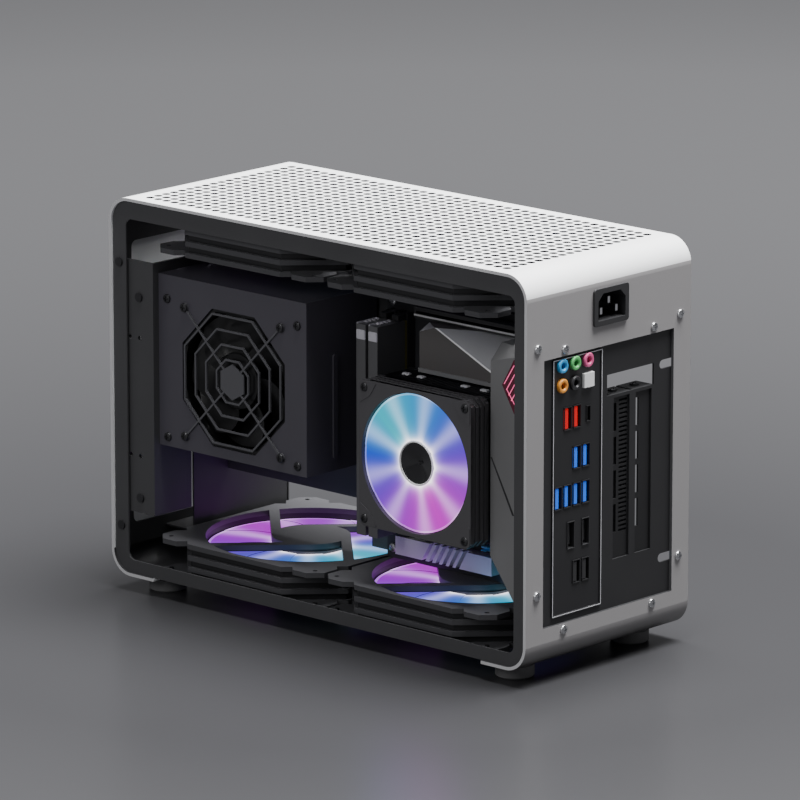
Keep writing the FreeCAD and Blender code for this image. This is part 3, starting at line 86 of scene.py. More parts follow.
def add(tree, kind, **inputs):
    """A node with some inputs set."""
    node = tree.nodes.new(kind)
    for name, value in inputs.items():
        node.inputs[name].default_value = value
    return node


def maths(tree, operation, first, second=None):
    """A math node fed by sockets or numbers."""
    node = tree.nodes.new("ShaderNodeMath")
    node.operation = operation
    for socket, value in zip(node.inputs, (first, second)):
        if isinstance(value, (int, float)):
            socket.default_value = value
        elif value is not None:
            tree.links.new(value, socket)
    return node.outputs[0]


def product(tree, *factors):
    """The product of sockets or numbers."""
    result = factors[0]
    for factor in factors[1:]:
        result = maths(tree, "MULTIPLY", result, factor)
    return result


def split(tree, vector):
    """The X, Y and Z outputs of a vector."""
    node = tree.nodes.new("ShaderNodeSeparateXYZ")
    tree.links.new(vector, node.inputs["Vector"])
    return node.outputs


def object_place(tree):
    """The X, Y and Z of the object's own coordinates, in metres."""
    return split(tree, tree.nodes.new("ShaderNodeTexCoord").outputs["Object"])


def face_normal(tree):
    """The X, Y and Z of the normal."""
    return split(tree, tree.nodes.new("ShaderNodeNewGeometry").outputs["Normal"])


def blend(tree, factor, first, second):
    """A colour socket that goes over to a plain colour by a factor."""
    node = tree.nodes.new("ShaderNodeMix")
    node.data_type = "RGBA"
    tree.links.new(factor, node.inputs["Factor"])
    tree.links.new(first, node.inputs[MIX_FIRST])
    node.inputs[MIX_SECOND].default_value = second
    return node.outputs[MIX_RESULT]


def repaint(material, factor, paint):
    """Paints a finish over where a factor is 1."""
    tree = material.node_tree
    base = tree.nodes["Principled BSDF"].inputs["Base Color"]
    tree.links.new(blend(tree, factor, base.links[0].from_socket, paint), base)


def ramp(tree, factor, stops):
    """A colour ramp through (position, colour) stops."""
    node = tree.nodes.new("ShaderNodeValToRGB")
    elements = node.color_ramp.elements
    while len(elements) < len(stops):
        elements.new(0.5)
    for element, (position, colour) in zip(elements, stops):
        element.position = position
        element.color = colour
    tree.links.new(factor, node.inputs["Fac"])
    return node.outputs["Color"]


def noise(tree, scale, detail=3.0, stretch=(1.0, 1.0, 1.0)):
    """Noise over the object's own coordinates, in metres."""
    place = tree.nodes.new("ShaderNodeTexCoord")
    mapping = add(tree, "ShaderNodeMapping", Scale=stretch)
    tree.links.new(place.outputs["Object"], mapping.inputs["Vector"])
    node = add(tree, "ShaderNodeTexNoise", Scale=scale, Detail=detail)
    tree.links.new(mapping.outputs["Vector"], node.inputs["Vector"])
    return node.outputs["Fac"]


def surface(name, colour, rough=0.5, metal=0.0, vary=0.12, grain=1800.0, cloud=25.0, bump=0.05,
            stretch=(1.0, 1.0, 1.0), coat=0.0, rough_vary=0.12):
    """A finish with cloudy colour, uneven gloss and a fine grain."""
    material, tree, shader = new_material(name)
    wide, fine = noise(tree, cloud, 4.0), noise(tree, grain, 2.0, stretch)
    mixed = maths(tree, "ADD", product(tree, wide, CLOUD_SHARE), product(tree, fine, GRAIN_SHARE))
    tree.links.new(ramp(tree, mixed, [(0.25, tint(colour, 1 - vary)), (0.75, tint(colour, 1 + vary))]),
                   shader.inputs["Base Color"])
    gloss = maths(tree, "ADD", product(tree, mixed, 2 * rough_vary), rough - rough_vary)
    tree.links.new(gloss, shader.inputs["Roughness"])
    relief = add(tree, "ShaderNodeBump", Strength=bump, Distance=BUMP_DEPTH)
    tree.links.new(fine, relief.inputs["Height"])
    tree.links.new(relief.outputs["Normal"], shader.inputs["Normal"])
    shader.inputs["Metallic"].default_value = metal
    shader.inputs["Coat Weight"].default_value = coat
    return material


def dress(material, *names):
    """Gives CAD nodes a finish."""
    for name in names:
        NODES[name].data.materials.clear()
        NODES[name].data.materials.append(material)


# Mesh helpers

SHARP_ANGLE = math.radians(35)
NO_RADIUS = 1e-7
WELD = 0.001 * MM


def add_object(name, mesh, body, materials, smooth=True):
    """A new piece that rides on a body, with a material slot for each finish."""
    piece = bpy.data.objects.new(name, mesh)
    bpy.context.scene.collection.objects.link(piece)
    for material in materials:
        mesh.materials.append(material)
    if smooth:
        mesh.shade_smooth()
        mesh.set_sharp_from_angle(angle=SHARP_ANGLE)
    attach(piece, body)
    return piece


def mesh_from(name, build):
    """A mesh filled by a function that draws into a bmesh."""
    drawing = bmesh.new()
    build(drawing)
    bmesh.ops.recalc_face_normals(drawing, faces=drawing.faces)
    mesh = bpy.data.meshes.new(name)
    drawing.to_mesh(mesh)
    drawing.free()
    return mesh


def lathe(drawing, profile, matrix, sides=48, slot=0):
    """Turns a closed outline of (radius, height) points about Z, then moves it."""
    turns = [2 * math.pi * step / sides for step in range(sides)]
    rings = []
    for radius, height in profile:
        if radius < NO_RADIUS:
            rings.append([drawing.verts.new(matrix @ Vector((0, 0, height)))])
        else:
            spots = [Vector((radius * math.cos(turn), radius * math.sin(turn), height)) for turn in turns]
            rings.append([drawing.verts.new(matrix @ spot) for spot in spots])
    for first, second in zip(rings, rings[1:]):
        for step in range(sides):
            after = (step + 1) % sides
            corners = [first[step % len(first)], first[after % len(first)],
                       second[after % len(second)], second[step % len(second)]]
            corners = list(dict.fromkeys(corners))
            if len(corners) > 2:
                drawing.faces.new(corners).material_index = slot


def merge(drawing, part):
    """Adds a finished bmesh to a drawing and frees it."""
    loose = bpy.data.meshes.new("loose")
    part.to_mesh(loose)
    part.free()
    drawing.from_mesh(loose)
    bpy.data.meshes.remove(loose)


def facing(axis, centre):
    """A matrix that turns +Z to an axis and moves to a centre."""
    turned = Vector((0, 0, 1)).rotation_difference(Vector(axis)).to_matrix().to_4x4()
    return Matrix.Translation(centre) @ turned


# Finishes

BLACK_STEEL = surface("black_steel", srgb(66, 66, 68), rough=0.5, vary=0.10, grain=2400, bump=0.10)
REAR_BLACK = surface("rear_black", srgb(40, 40, 42), rough=0.5, vary=0.10, grain=2400, bump=0.10)
SLOT_BLACK = surface("slot_black", srgb(28, 28, 30), rough=0.5, vary=0.10, grain=2400, bump=0.10)
# Painted light: the dark feet are painted a paler grey, for light in the shade under the case
RUBBER_PAINTED_LIGHT = surface("rubber_painted_light", srgb(104, 104, 105), rough=0.75, vary=0.15, grain=1500, bump=0.12)
ZINC = surface("zinc", srgb(205, 206, 208), rough=0.28, metal=1.0, vary=0.08, grain=900, stretch=(1, 1, 6))
BLACK_SCREW = surface("black_screw", srgb(70, 70, 72), rough=0.38, metal=0.8, vary=0.15, grain=1200)
FAN_PLASTIC = surface("fan_plastic", srgb(75, 74, 77), rough=0.52, vary=0.10, grain=2000, bump=0.10)
SOCKET_PLASTIC = surface("socket_plastic", srgb(48, 48, 50), rough=0.45, vary=0.10, grain=2200, bump=0.06)
SHIELD = surface("shield_coat", srgb(36, 36, 38), rough=0.45, vary=0.10, grain=2600, bump=0.05)
LAMINATE = surface("laminate", srgb(46, 47, 50), rough=0.5, vary=0.2, grain=700, bump=0.08)
BRASS = surface("brass", srgb(200, 168, 96), rough=0.35, metal=1.0, vary=0.08)
PLATED = surface("plated", srgb(185, 187, 190), rough=0.3, metal=1.0, vary=0.06)
FIN_METAL = surface("fin_metal", srgb(96, 97, 102), rough=0.4, metal=0.9, vary=0.12, stretch=(1, 1, 8))
COVER_GREY = surface("cover_grey", srgb(122, 122, 123), rough=0.5, vary=0.06, grain=2200, bump=0.06)
# Painted shade and painted light: darker and paler copies of the cover's grey, for the arm's upright face and
# for its slanted facets
COVER_PAINTED_SHADE = surface("cover_painted_shade", srgb(92, 89, 88), rough=0.5, vary=0.06, grain=2200, bump=0.06)
COVER_PAINTED_LIGHT = surface("cover_painted_light", srgb(168, 168, 172), rough=0.5, vary=0.06, grain=2200, bump=0.06)
# Painted highlight: near-white for the bevel along the arm's ridge and for the cooler hub's ring
PAINTED_HIGHLIGHT = surface("painted_highlight", srgb(250, 250, 252), rough=0.35, vary=0.05, grain=1400)
PALE_METAL = surface("pale_metal", srgb(226, 226, 230), rough=0.4, metal=0.3, vary=0.05, grain=1400,
                     stretch=(1, 6, 1))
PSU_COAT = surface("psu_coat", srgb(73, 71, 79), rough=0.48, vary=0.10, grain=2600, bump=0.08)
WIRE = surface("wire", srgb(84, 84, 88), rough=0.35, vary=0.1, grain=900)
GLOSS_BLACK = surface("gloss_black", srgb(30, 30, 32), rough=0.18, vary=0.12, grain=500, bump=0.02, coat=0.5,
                      rough_vary=0.05)
DEEP_BLACK = surface("deep_black", srgb(16, 16, 17), rough=0.3, vary=0.12, grain=500, bump=0.02,
                     rough_vary=0.05)
MEMORY_TRIM = surface("memory_trim", srgb(200, 198, 206), rough=0.36, vary=0.10, grain=900)
HEADER_BLUE = surface("header_blue", srgb(120, 196, 232), rough=0.4, vary=0.06, grain=900)
BUTTON_METAL = surface("button_metal", srgb(210, 211, 213), rough=0.3, metal=0.9, vary=0.05)
USB_RED = surface("usb_red", srgb(214, 14, 14), rough=0.35, vary=0.08, grain=900)
USB_BLUE = surface("usb_blue", srgb(44, 126, 255), rough=0.35, vary=0.08, grain=900)
OPTICAL_WHITE = surface("optical_white", srgb(242, 242, 242), rough=0.35, vary=0.03, grain=900)


def light_up(material, colour, strength):
    """Lets a finish shine by itself."""
    shader = material.node_tree.nodes["Principled BSDF"]
    shader.inputs["Emission Color"].default_value = colour
    shader.inputs["Emission Strength"].default_value = strength


# Painted light: the red and blue port tongues glow a little by themselves, though they hold no lamp
PORT_PAINTED_GLOW = 0.22
light_up(USB_RED, srgb(255, 10, 10), PORT_PAINTED_GLOW)
light_up(USB_BLUE, srgb(20, 90, 255), PORT_PAINTED_GLOW)


def banded(name, base, axis, stripes):
    """A plastic whose colour changes in bands along an axis: (start, end, colour) in millimetres."""
    material = surface(name, base, rough=0.42, vary=0.10, grain=1800, bump=0.06)
    tree = material.node_tree
    level = object_place(tree)[axis]
    for start, end, paint in stripes:
        inside = product(tree, maths(tree, "GREATER_THAN", level, start * MM),
                         maths(tree, "LESS_THAN", level, end * MM))
        repaint(material, inside, paint)
    return material


def topped(name, base, top, stripes):
    """A banded plastic with painted light: paler on the faces that look up."""
    material = banded(name, base, "Z", stripes)
    tree = material.node_tree
    repaint(material, maths(tree, "GREATER_THAN", face_normal(tree)["Z"], 0.8), top)
    return material


# Where the shell's painted shade begins and ends, in metres
REAR_LEVEL, TOP_LEVEL, BEND_LEVEL = 171 * MM, 252 * MM, 38 * MM
HOLES_HALF, OPENING_HALF = 70 * MM, 68 * MM
OPENING_LOW, OPENING_HIGH = 24 * MM, 240 * MM
# Painted shade: the grey laid over the white coat on the flat rear face and on the rounded lower edge at the
# rear
REAR_PAINTED_SHADE = srgb(152, 150, 151)


def coat():
    """The shell's white coat, grey on its edges, with painted shade: grey on the flat rear face and the
    rounded lower edge at the rear, darker still where that edge looks down, and dark in the perforations of
    the top, on the sides of the rear opening and on the faces that look up near the bottom.
    """
    material = surface("white_coat_with_painted_shade", srgb(240, 241, 242), rough=0.42, vary=0.02, grain=2600, bump=0.04)
    tree = material.node_tree
    place, normal = object_place(tree), face_normal(tree)

    def above(socket, limit):
        return maths(tree, "GREATER_THAN", socket, limit)

    def below(socket, limit):
        return maths(tree, "LESS_THAN", socket, limit)

    def size(socket):
        return maths(tree, "ABSOLUTE", socket)

    back, foot = above(place["Y"], REAR_LEVEL), below(place["Z"], BEND_LEVEL)
    rear_foot = product(tree, foot, above(place["Y"], 0.0))
    down = maths(tree, "MAXIMUM", product(tree, normal["Z"], -1.0), 0.0)
    edge = above(size(normal["X"]), 0.9)
    # Painted shade: the flat rear face is painted grey
    rear = product(tree, back, above(normal["Y"], 0.99))
    # Painted shade: the sides of the perforations in the top are painted dark
    hole_shade = product(tree, above(place["Z"], TOP_LEVEL), below(size(normal["Z"]), 0.4),
                    below(size(place["X"]), HOLES_HALF))
    # Painted shade: the sides of the rear opening are painted dark grey
    opening_shade = product(tree, back, below(size(normal["Y"]), 0.4), below(size(place["X"]), OPENING_HALF),
                    below(place["Z"], OPENING_HIGH), above(place["Z"], OPENING_LOW))
    # Painted shade: the faces that look up near the bottom, on the inner bottom lip, are painted dark
    lip_shade = product(tree, foot, above(normal["Z"], 0.03))
    # Painted shade: the rounded lower edge at the rear is grey where it looks down, and darker the further
    # down it looks
    bend_shade = product(tree, rear_foot, below(normal["Z"], -0.01))
    shade = product(tree, rear_foot, down)
    for factor, paint in ((edge, srgb(200, 200, 202)), (rear, REAR_PAINTED_SHADE), (hole_shade, srgb(70, 70, 74)),
                          (opening_shade, srgb(92, 92, 94)), (lip_shade, srgb(52, 52, 54)), (bend_shade, REAR_PAINTED_SHADE),
                          (shade, srgb(40, 40, 42))):
        repaint(material, factor, paint)
    return material


# The shell's white coat, with painted shade on its rear, its perforations, its rear opening and its lower
# faces
WHITE_WITH_PAINTED_SHADE = coat()
# Painted shade: dark bands where the case fans' frames are grooved, as (start, end, colour) in millimetres
FAN_LEVELS, BAND_PITCH = (13.2, 222.0), 7.27
GROOVE_SHADE = [(base + BAND_PITCH * step + 3.3, base + BAND_PITCH * step + 7.2, srgb(28, 28, 30))
           for base in FAN_LEVELS for step in range(3)]
# Painted light: the case fans' frames are paler on the faces that look up, over the painted shade of their
# grooves
FAN_PAINTED_LIGHT_AND_SHADE = topped("fan_painted_light_and_shade", srgb(68, 68, 71), srgb(86, 86, 89), GROOVE_SHADE)
SLOT_LINE = banded("slot_plastic", srgb(44, 44, 46), "Z", [(199.6, 200.8, srgb(226, 226, 226))])
STICK = banded("stick_coat", srgb(90, 90, 92), "X", [(13.0, 17.2, srgb(112, 108, 44))])

dress(WHITE_WITH_PAINTED_SHADE, "outer_shell")
dress(BLACK_STEEL, "near_frame", "far_frame", "front_plate", "tray", "front_brace", "psu_bracket")
dress(REAR_BLACK, "rear_plate")
dress(SLOT_BLACK, "slot_covers")
dress(RUBBER_PAINTED_LIGHT, "feet")
dress(ZINC, "rear_screws", "inlet_pins", "board_screws")
dress(BLACK_SCREW, "slot_screws", "frame_screws", "psu_screws", "cooler_screws", "fan_screws")
dress(FAN_PLASTIC, "cooler_fan_frame")
dress(FAN_PAINTED_LIGHT_AND_SHADE, "top_fan_frame_1", "top_fan_frame_2", "bottom_fan_frame_1", "bottom_fan_frame_2")
dress(DEEP_BLACK, "psu_fan_frame")
dress(SOCKET_PLASTIC, "power_inlet", "psu_inlet", "dimm_slots", "dimm_latch_1", "dimm_latch_2", "audio_block",
      "usb_tongues_black", "video_ports", "board_headers", "button_housing")
dress(SHIELD, "io_shield", "usb_shells")
dress(LAMINATE, "motherboard", "psu_board")
dress(BRASS, "standoffs")
dress(PLATED, "cpu")
dress(FIN_METAL, "cooler_heatsink")
dress(STICK, "ram_sticks")
dress(SLOT_LINE, "pcie_slot")
dress(COVER_GREY, "io_cover")
dress(PALE_METAL, "m2_heatsink")
dress(PSU_COAT, "psu_case")
dress(WIRE, "psu_grille")
dress(GLOSS_BLACK, "psu_fan_rotor", "psu_switch")
dress(BUTTON_METAL, "power_button")
dress(USB_RED, "usb_tongues_red")
dress(USB_BLUE, "usb_tongues_blue")
dress(OPTICAL_WHITE, "optical_port")


# Fans with swept blades, some of them lit

# Rays and rim of the light, as shares of white, and where the rim starts, as a share of the tip's radius
PALE = srgb(255, 248, 255)
RAYS, RAY_PALE = 9, 0.28
RIM_START, RIM_PALE = 0.972, 0.2
PALE_POWER, COLOUR_POWER = 1.7, 0.72

# Colours around the axis, sizes of the rotors in millimetres, and the light of each kind of fan
COOLER_COLOURS = [(30, 96, 255), (140, 60, 255), (215, 20, 255), (255, 0, 255), (205, 40, 255),
                  (120, 70, 255), (50, 130, 255), (0, 190, 255), (0, 228, 255), (30, 96, 255)]
CASE_COLOURS = [(180, 30, 255), (200, 20, 255), (225, 0, 255), (190, 30, 255), (110, 90, 255),
                (70, 130, 255), (0, 205, 255), (0, 218, 255), (90, 100, 255), (180, 30, 255)]
CASE_FAN = {"tip": 65.6, "root": 24.0, "low": 1.7, "high": 20.1, "top": 23.6, "blades": 9, "sweep": 0.35,
            "middle": 18.0, "rise": 0.5, "camber": 0.25}
COOLER_FAN = {"tip": 43.1, "root": 13.9, "low": 1.7, "high": 12.5, "top": 14.6, "blades": 9, "sweep": 0.30,
              "middle": 2.5, "rise": 0.5, "camber": 0.25}
PSU_FAN = {"tip": 42.1, "root": 18.1, "low": 1.7, "high": 16.1, "top": 18.6, "blades": 7, "sweep": 0.55,
           "middle": 8.4, "rise": 10.0, "camber": 0.5}
COOLER_LIGHT = {"colours": COOLER_COLOURS, "hub": 14, "fade": 6.0, "power": 1.0, "under": 1.0}
BOTTOM_LIGHT = {"colours": CASE_COLOURS, "hub": 24, "fade": 9.0, "power": 1.0, "under": 0.1}
TOP_LIGHT = {**BOTTOM_LIGHT, "power": 0.5, "under": 0.06}

# Blades: grid, width as a share of the pitch, loss of rise at the tip, half thickness at the edges
SPANS, CHORDS = 12, 8
BLADE_WIDTH, TIP_LOSS, EDGE_HALF = 1.05, 0.3, 0.15

# Hubs: sides, and the steps of a dished face
HUB_SIDES = 64
DISH_SHARES = (0.10, 0.20, 0.28, 0.36, 0.44, 0.52, 0.60, 0.70, 0.80, 0.90)
DISH_DEPTH, DISH_SLOPE, DISH_STEP = 3.9, 4.0, 0.3


def glow(name, axis, centre, fan, light):
    """Milky plastic lit in colours that change around an axis, with pale rays from the hub and a pale rim."""
    material, tree, shader = new_material(name)
    place = object_place(tree)
    across, up = [maths(tree, "SUBTRACT", place[index], centre[index])
                  for index in range(3) if "XYZ"[index] != axis]
    turn = maths(tree, "ARCTAN2", up, across)
    reach = maths(tree, "SQRT", maths(tree, "ADD", product(tree, across, across), product(tree, up, up)))
    share = maths(tree, "ADD", maths(tree, "DIVIDE", turn, 2 * math.pi), 0.5)
    colours = light["colours"]
    steps = len(colours) - 1
    colour = ramp(tree, share, [(step / steps, srgb(*colours[step])) for step in range(steps + 1)])

    wave = maths(tree, "COSINE", product(tree, turn, RAYS))
    beam = maths(tree, "POWER", maths(tree, "ADD", product(tree, wave, 0.5), 0.5), 2.0)
    near = maths(tree, "POWER", maths(tree, "DIVIDE", light["hub"] * MM, reach), light["fade"])
    rim = product(tree, maths(tree, "GREATER_THAN", reach, fan["tip"] * RIM_START * MM), RIM_PALE)
    pale = maths(tree, "ADD", product(tree, beam, RAY_PALE), maths(tree, "MAXIMUM", near, rim))
    white = maths(tree, "MINIMUM", pale, 1.0)
    tree.links.new(blend(tree, white, colour, PALE), shader.inputs["Emission Color"])

    over = maths(tree, "GREATER_THAN", face_normal(tree)[axis], 0.0)
    lit = maths(tree, "ADD", product(tree, over, 1 - light["under"]), light["under"])
    strength = maths(tree, "ADD", product(tree, white, PALE_POWER), COLOUR_POWER)
    tree.links.new(product(tree, strength, lit, light["power"]), shader.inputs["Emission Strength"])
    shader.inputs["Base Color"].default_value = srgb(30, 26, 40)
    tree.links.new(maths(tree, "ADD", product(tree, noise(tree, 900), 0.2), 0.3), shader.inputs["Roughness"])
    return material


def blade(drawing, matrix, fan, start):
    """One swept, cambered blade with thin edges."""
    pitch = 2 * math.pi / fan["blades"]
    sheets = []
    for side in (1, -1):
        sheet = []
        for row in range(SPANS + 1):
            u = row / SPANS
            radius = fan["root"] - 1 + (fan["tip"] - fan["root"] + 1) * u
            line = []
            for column in range(CHORDS + 1):
                v = column / CHORDS
                angle = start + fan["sweep"] * u * u + (v - 0.5) * pitch * BLADE_WIDTH
                height = fan["middle"] + (v - 0.5) * fan["rise"] * (1.0 - TIP_LOSS * u)
                height += side * (EDGE_HALF + fan["camber"] * math.sin(math.pi * v))
                spot = Vector((radius * math.cos(angle), radius * math.sin(angle), height)) * MM
                line.append(drawing.verts.new(matrix @ spot))
            sheet.append(line)
        sheets.append(sheet)
    for sheet in sheets:
        for row in range(SPANS):
            for column in range(CHORDS):
                drawing.faces.new((sheet[row][column], sheet[row + 1][column], sheet[row + 1][column + 1],
                                   sheet[row][column + 1]))
    rims = [[sheet[row][0] for row in range(SPANS + 1)] + sheet[SPANS][1:]
            + [sheet[row][CHORDS] for row in range(SPANS - 1, -1, -1)] + sheet[0][CHORDS - 1:0:-1]
            for sheet in sheets]
    for step in range(len(rims[0])):
        after = (step + 1) % len(rims[0])
        drawing.faces.new((rims[0][step], rims[0][after], rims[1][after], rims[1][step]))


def rotor(name, body, fan, matrix, finishes, dished=False):
    """A hub with swept blades in place of a CAD rotor."""
    root, low, high, top = fan["root"], fan["low"], fan["high"], fan["top"]
    if dished:
        steps = [(root * share, low + DISH_DEPTH - DISH_SLOPE * share + (DISH_STEP if index % 2 else 0.0))
                 for index, share in enumerate(DISH_SHARES)]
        face = [(0, low + 2.4), (0.8, low + 2.6), *steps, (root - 0.9, low), (root, low + 0.6),
                (root - 0.4, low + 1.3)]
    else:
        face = [(0, low), (root - 2.0, low), (root - 0.6, low + 0.5)]
    hub = face + [(root, low + 1.4), (root, high), (2.0, high), (2.0, top), (0, top)]
    ring = [(root - 1.1, low + 0.2), (root - 0.8, low - 0.6), (root - 0.2, low - 0.6),
            (root + 0.2, low + 0.1), (root - 0.4, low + 0.7), (root - 1.1, low + 0.2)]

    def draw(drawing):
        for index in range(fan["blades"]):
            blade(drawing, matrix, fan, 2 * math.pi * index / fan["blades"])
        lathe(drawing, [(radius * MM, height * MM) for radius, height in hub], matrix, HUB_SIDES, 1)
        if dished:
            lathe(drawing, [(radius * MM, height * MM) for radius, height in ring], matrix, HUB_SIDES, 2)
    piece = add_object(f"{name}_swept", mesh_from(name, draw), body, finishes)
    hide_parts(name)


def middle(name):
    """The middle of a node's box."""
    low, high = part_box(name)
    return (low + high) / 2


def near_face(name):
    """The middle of the face of a node's box that looks to +X."""
    centre = middle(name)
    return Vector((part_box(name)[1].x, centre.y, centre.z))


def build_rotors():
    """The rotors of the cooler, the power supply and the case fans."""
    lit = glow("cooler_glow", "X", middle("cooler_fan_frame"), COOLER_FAN, COOLER_LIGHT)
    # The cooler hub's silver ring takes the painted highlight: a silver ring painted pale, a painted
    # reflection that reads bright from every side
    rotor("cooler_fan_rotor", "cooler_fan", COOLER_FAN, facing((-1, 0, 0), near_face("cooler_fan_frame")),
          [lit, GLOSS_BLACK, PAINTED_HIGHLIGHT], True)
    rotor("psu_fan_rotor", "psu_fan", PSU_FAN, facing((-1, 0, 0), near_face("psu_fan_frame")),
          [DEEP_BLACK, DEEP_BLACK])
    for level, light in (("bottom", BOTTOM_LIGHT), ("top", TOP_LIGHT)):
        for index in (1, 2):
            holder = f"{level}_fan_frame_{index}"
            centre = middle(holder)
            base = Vector((centre.x, centre.y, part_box(holder)[0].z))
            lit = glow(f"{level}_glow_{index}", "Z", centre, CASE_FAN, light)
            rotor(f"{level}_fan_rotor_{index}", f"{level}_fan_{index}", CASE_FAN, facing((0, 0, 1), base),
                  [lit, FAN_PLASTIC])


build_rotors()


# Feet and screws

HEAD_RADIUS, HEAD_HEIGHT = 2.9 * MM, 1.6 * MM
SHANK_RADIUS, SHANK_LENGTH = 1.5 * MM, 1.4 * MM


def groups(name):
    """The low and high corners of each separate solid of a node."""
    drawing = bmesh.new()
    drawing.from_mesh(NODES[name].data)
    bmesh.ops.remove_doubles(drawing, verts=drawing.verts, dist=WELD)
    left, found = dict.fromkeys(drawing.verts), []
    while left:
        reached = [next(iter(left))]
        del left[reached[0]]
        for vertex in reached:
            for edge in vertex.link_edges:
                other = edge.other_vert(vertex)
                if other in left:
                    del left[other]
                    reached.append(other)
        spots = [vertex.co for vertex in reached]
        found.append(tuple(Vector([choose(spot[index] for spot in spots) for index in range(3)])
                           for choose in (min, max)))
    drawing.free()
    return found


def cross_head(radius, high, shank, length):
    """A domed screw head with a cross recess, on the plane Z = 0."""
    outline = [(0, -length), (shank, -length), (shank, 0), (radius, 0), (radius, high * 0.35),
               (radius * 0.9, high * 0.68), (radius * 0.6, high * 0.92), (radius * 0.3, high), (0, high)]

    def draw_head(drawing):
        lathe(drawing, outline, Matrix.Identity(4), 32)

    def draw_cross(drawing):
        for turn in (0, math.pi / 2):
            size = Matrix.Diagonal((radius * 1.15, radius * 0.24, high, 1))
            bmesh.ops.create_cube(drawing, size=1, matrix=Matrix.Rotation(turn, 4, "Z")
                                  @ Matrix.Translation((0, 0, high)) @ size)
    head = bpy.data.objects.new("head", mesh_from("head", draw_head))
    cutter = bpy.data.objects.new("cutter", mesh_from("cutter", draw_cross))
    for thing in (head, cutter):
        bpy.context.scene.collection.objects.link(thing)
    recess = head.modifiers.new("recess", "BOOLEAN")
    recess.object = cutter
    recess.use_self = True
    bpy.context.view_layer.update()
    mesh = bpy.data.meshes.new_from_object(head.evaluated_get(bpy.context.evaluated_depsgraph_get()))
    for thing in (head, cutter):
        bpy.data.objects.remove(thing)
    return mesh


def dress_screws(name, axis, finish):
    """Cross-recessed screws in place of a node's plain ones, with their heads along an axis."""
    head = cross_head(HEAD_RADIUS, HEAD_HEIGHT, SHANK_RADIUS, SHANK_LENGTH)
    direction = [0, 0, 0]
    direction[axis] = 1

    def draw(drawing):
        for low, top in groups(name):
            spot = (low + top) / 2
            spot[axis] = top[axis] - HEAD_HEIGHT
            single = bmesh.new()
            single.from_mesh(head)
            single.transform(facing(direction, spot))
            merge(drawing, single)
    piece = add_object(f"{name}_cross", mesh_from(name, draw), "case", [finish])
    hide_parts(name)


dress_screws("rear_screws", 1, ZINC)
dress_screws("psu_screws", 0, BLACK_SCREW)
dress_screws("cooler_screws", 0, BLACK_SCREW)
dress_screws("slot_screws", 2, BLACK_SCREW)
dress_screws("board_screws", 0, ZINC)


def build_feet():
    """Turned feet with a hollow sole and a groove."""
    outline = [(0, 0.8), (8.2, 0.8), (8.8, 0), (11.0, 0), (12.0, 1.0), (12.0, 7.6), (11.4, 8.0), (11.4, 8.8),
               (12.0, 9.2), (12.0, 10.0), (0, 10.0)]

    def draw(drawing):
        for low, high in groups("feet"):
            centre = (low + high) / 2
            lathe(drawing, [(radius * MM, height * MM) for radius, height in outline],
                  Matrix.Translation((centre.x, centre.y, 0)))
    piece = add_object("rubber_feet", mesh_from("rubber_feet", draw), "case", [RUBBER_PAINTED_LIGHT])
    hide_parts("feet")


build_feet()


# The board cover with its slanted facets

RIDGE_REACH, RIDGE_WIDTH = 3 * MM, 0.6 * MM
ARM_RIDGE = ((30.1, 61, 197.8), (30.1, 119.1, 171.6))
TOWER_FACE = 50.1


def box_mesh(drawing, low, high):
    """A box between two corners, in millimetres."""
    size = [(end - start) * MM for start, end in zip(low, high)]
    centre = [(end + start) / 2 * MM for start, end in zip(low, high)]
    bmesh.ops.create_cube(drawing, size=1, matrix=Matrix.Translation(centre) @ Matrix.Diagonal((*size, 1)))


def slice_off(drawing, spots, keep):
    """Cuts a solid along the plane through three points and keeps the side of a fourth."""
    first, second, third, inside = [Vector(spot) * MM for spot in (*spots, keep)]
    normal = (second - first).cross(third - first).normalized()
    if (inside - first).dot(normal) > 0:
        normal = -normal
    everything = drawing.verts[:] + drawing.edges[:] + drawing.faces[:]
    cut = bmesh.ops.bisect_plane(drawing, geom=everything, plane_co=first, plane_no=normal, clear_outer=True)
    rim = [edge for edge in cut["geom_cut"] if isinstance(edge, bmesh.types.BMEdge)]
    return bmesh.ops.edgeloop_fill(drawing, edges=rim)["faces"]


def faceted(name, low, high, cuts, paint, ridges):
    """A box with slanted cuts that take a material slot of their own, the painted light on the arm, with a
    painted highlight along some edges, as a mesh.
    """
    def draw(drawing):
        box_mesh(drawing, low, high)
        inside = [(start + end) / 2 for start, end in zip(low, high)]
        inside[0] = low[0]
        for spots in cuts:
            for face in slice_off(drawing, spots, inside):
                face.material_index = paint
        bright = [edge for edge in drawing.edges for first, second in ridges
                  if all(min((corner.co - Vector(end) * MM).length for corner in edge.verts) < RIDGE_REACH
                         for end in (first, second))]
        if bright:
            # The bevel along a ridge takes the painted highlight
            done = bmesh.ops.bevel(drawing, geom=bright, offset=RIDGE_WIDTH, segments=1, affect="EDGES")
            for face in done["faces"]:
                face.material_index = 1
    return mesh_from(name, draw)


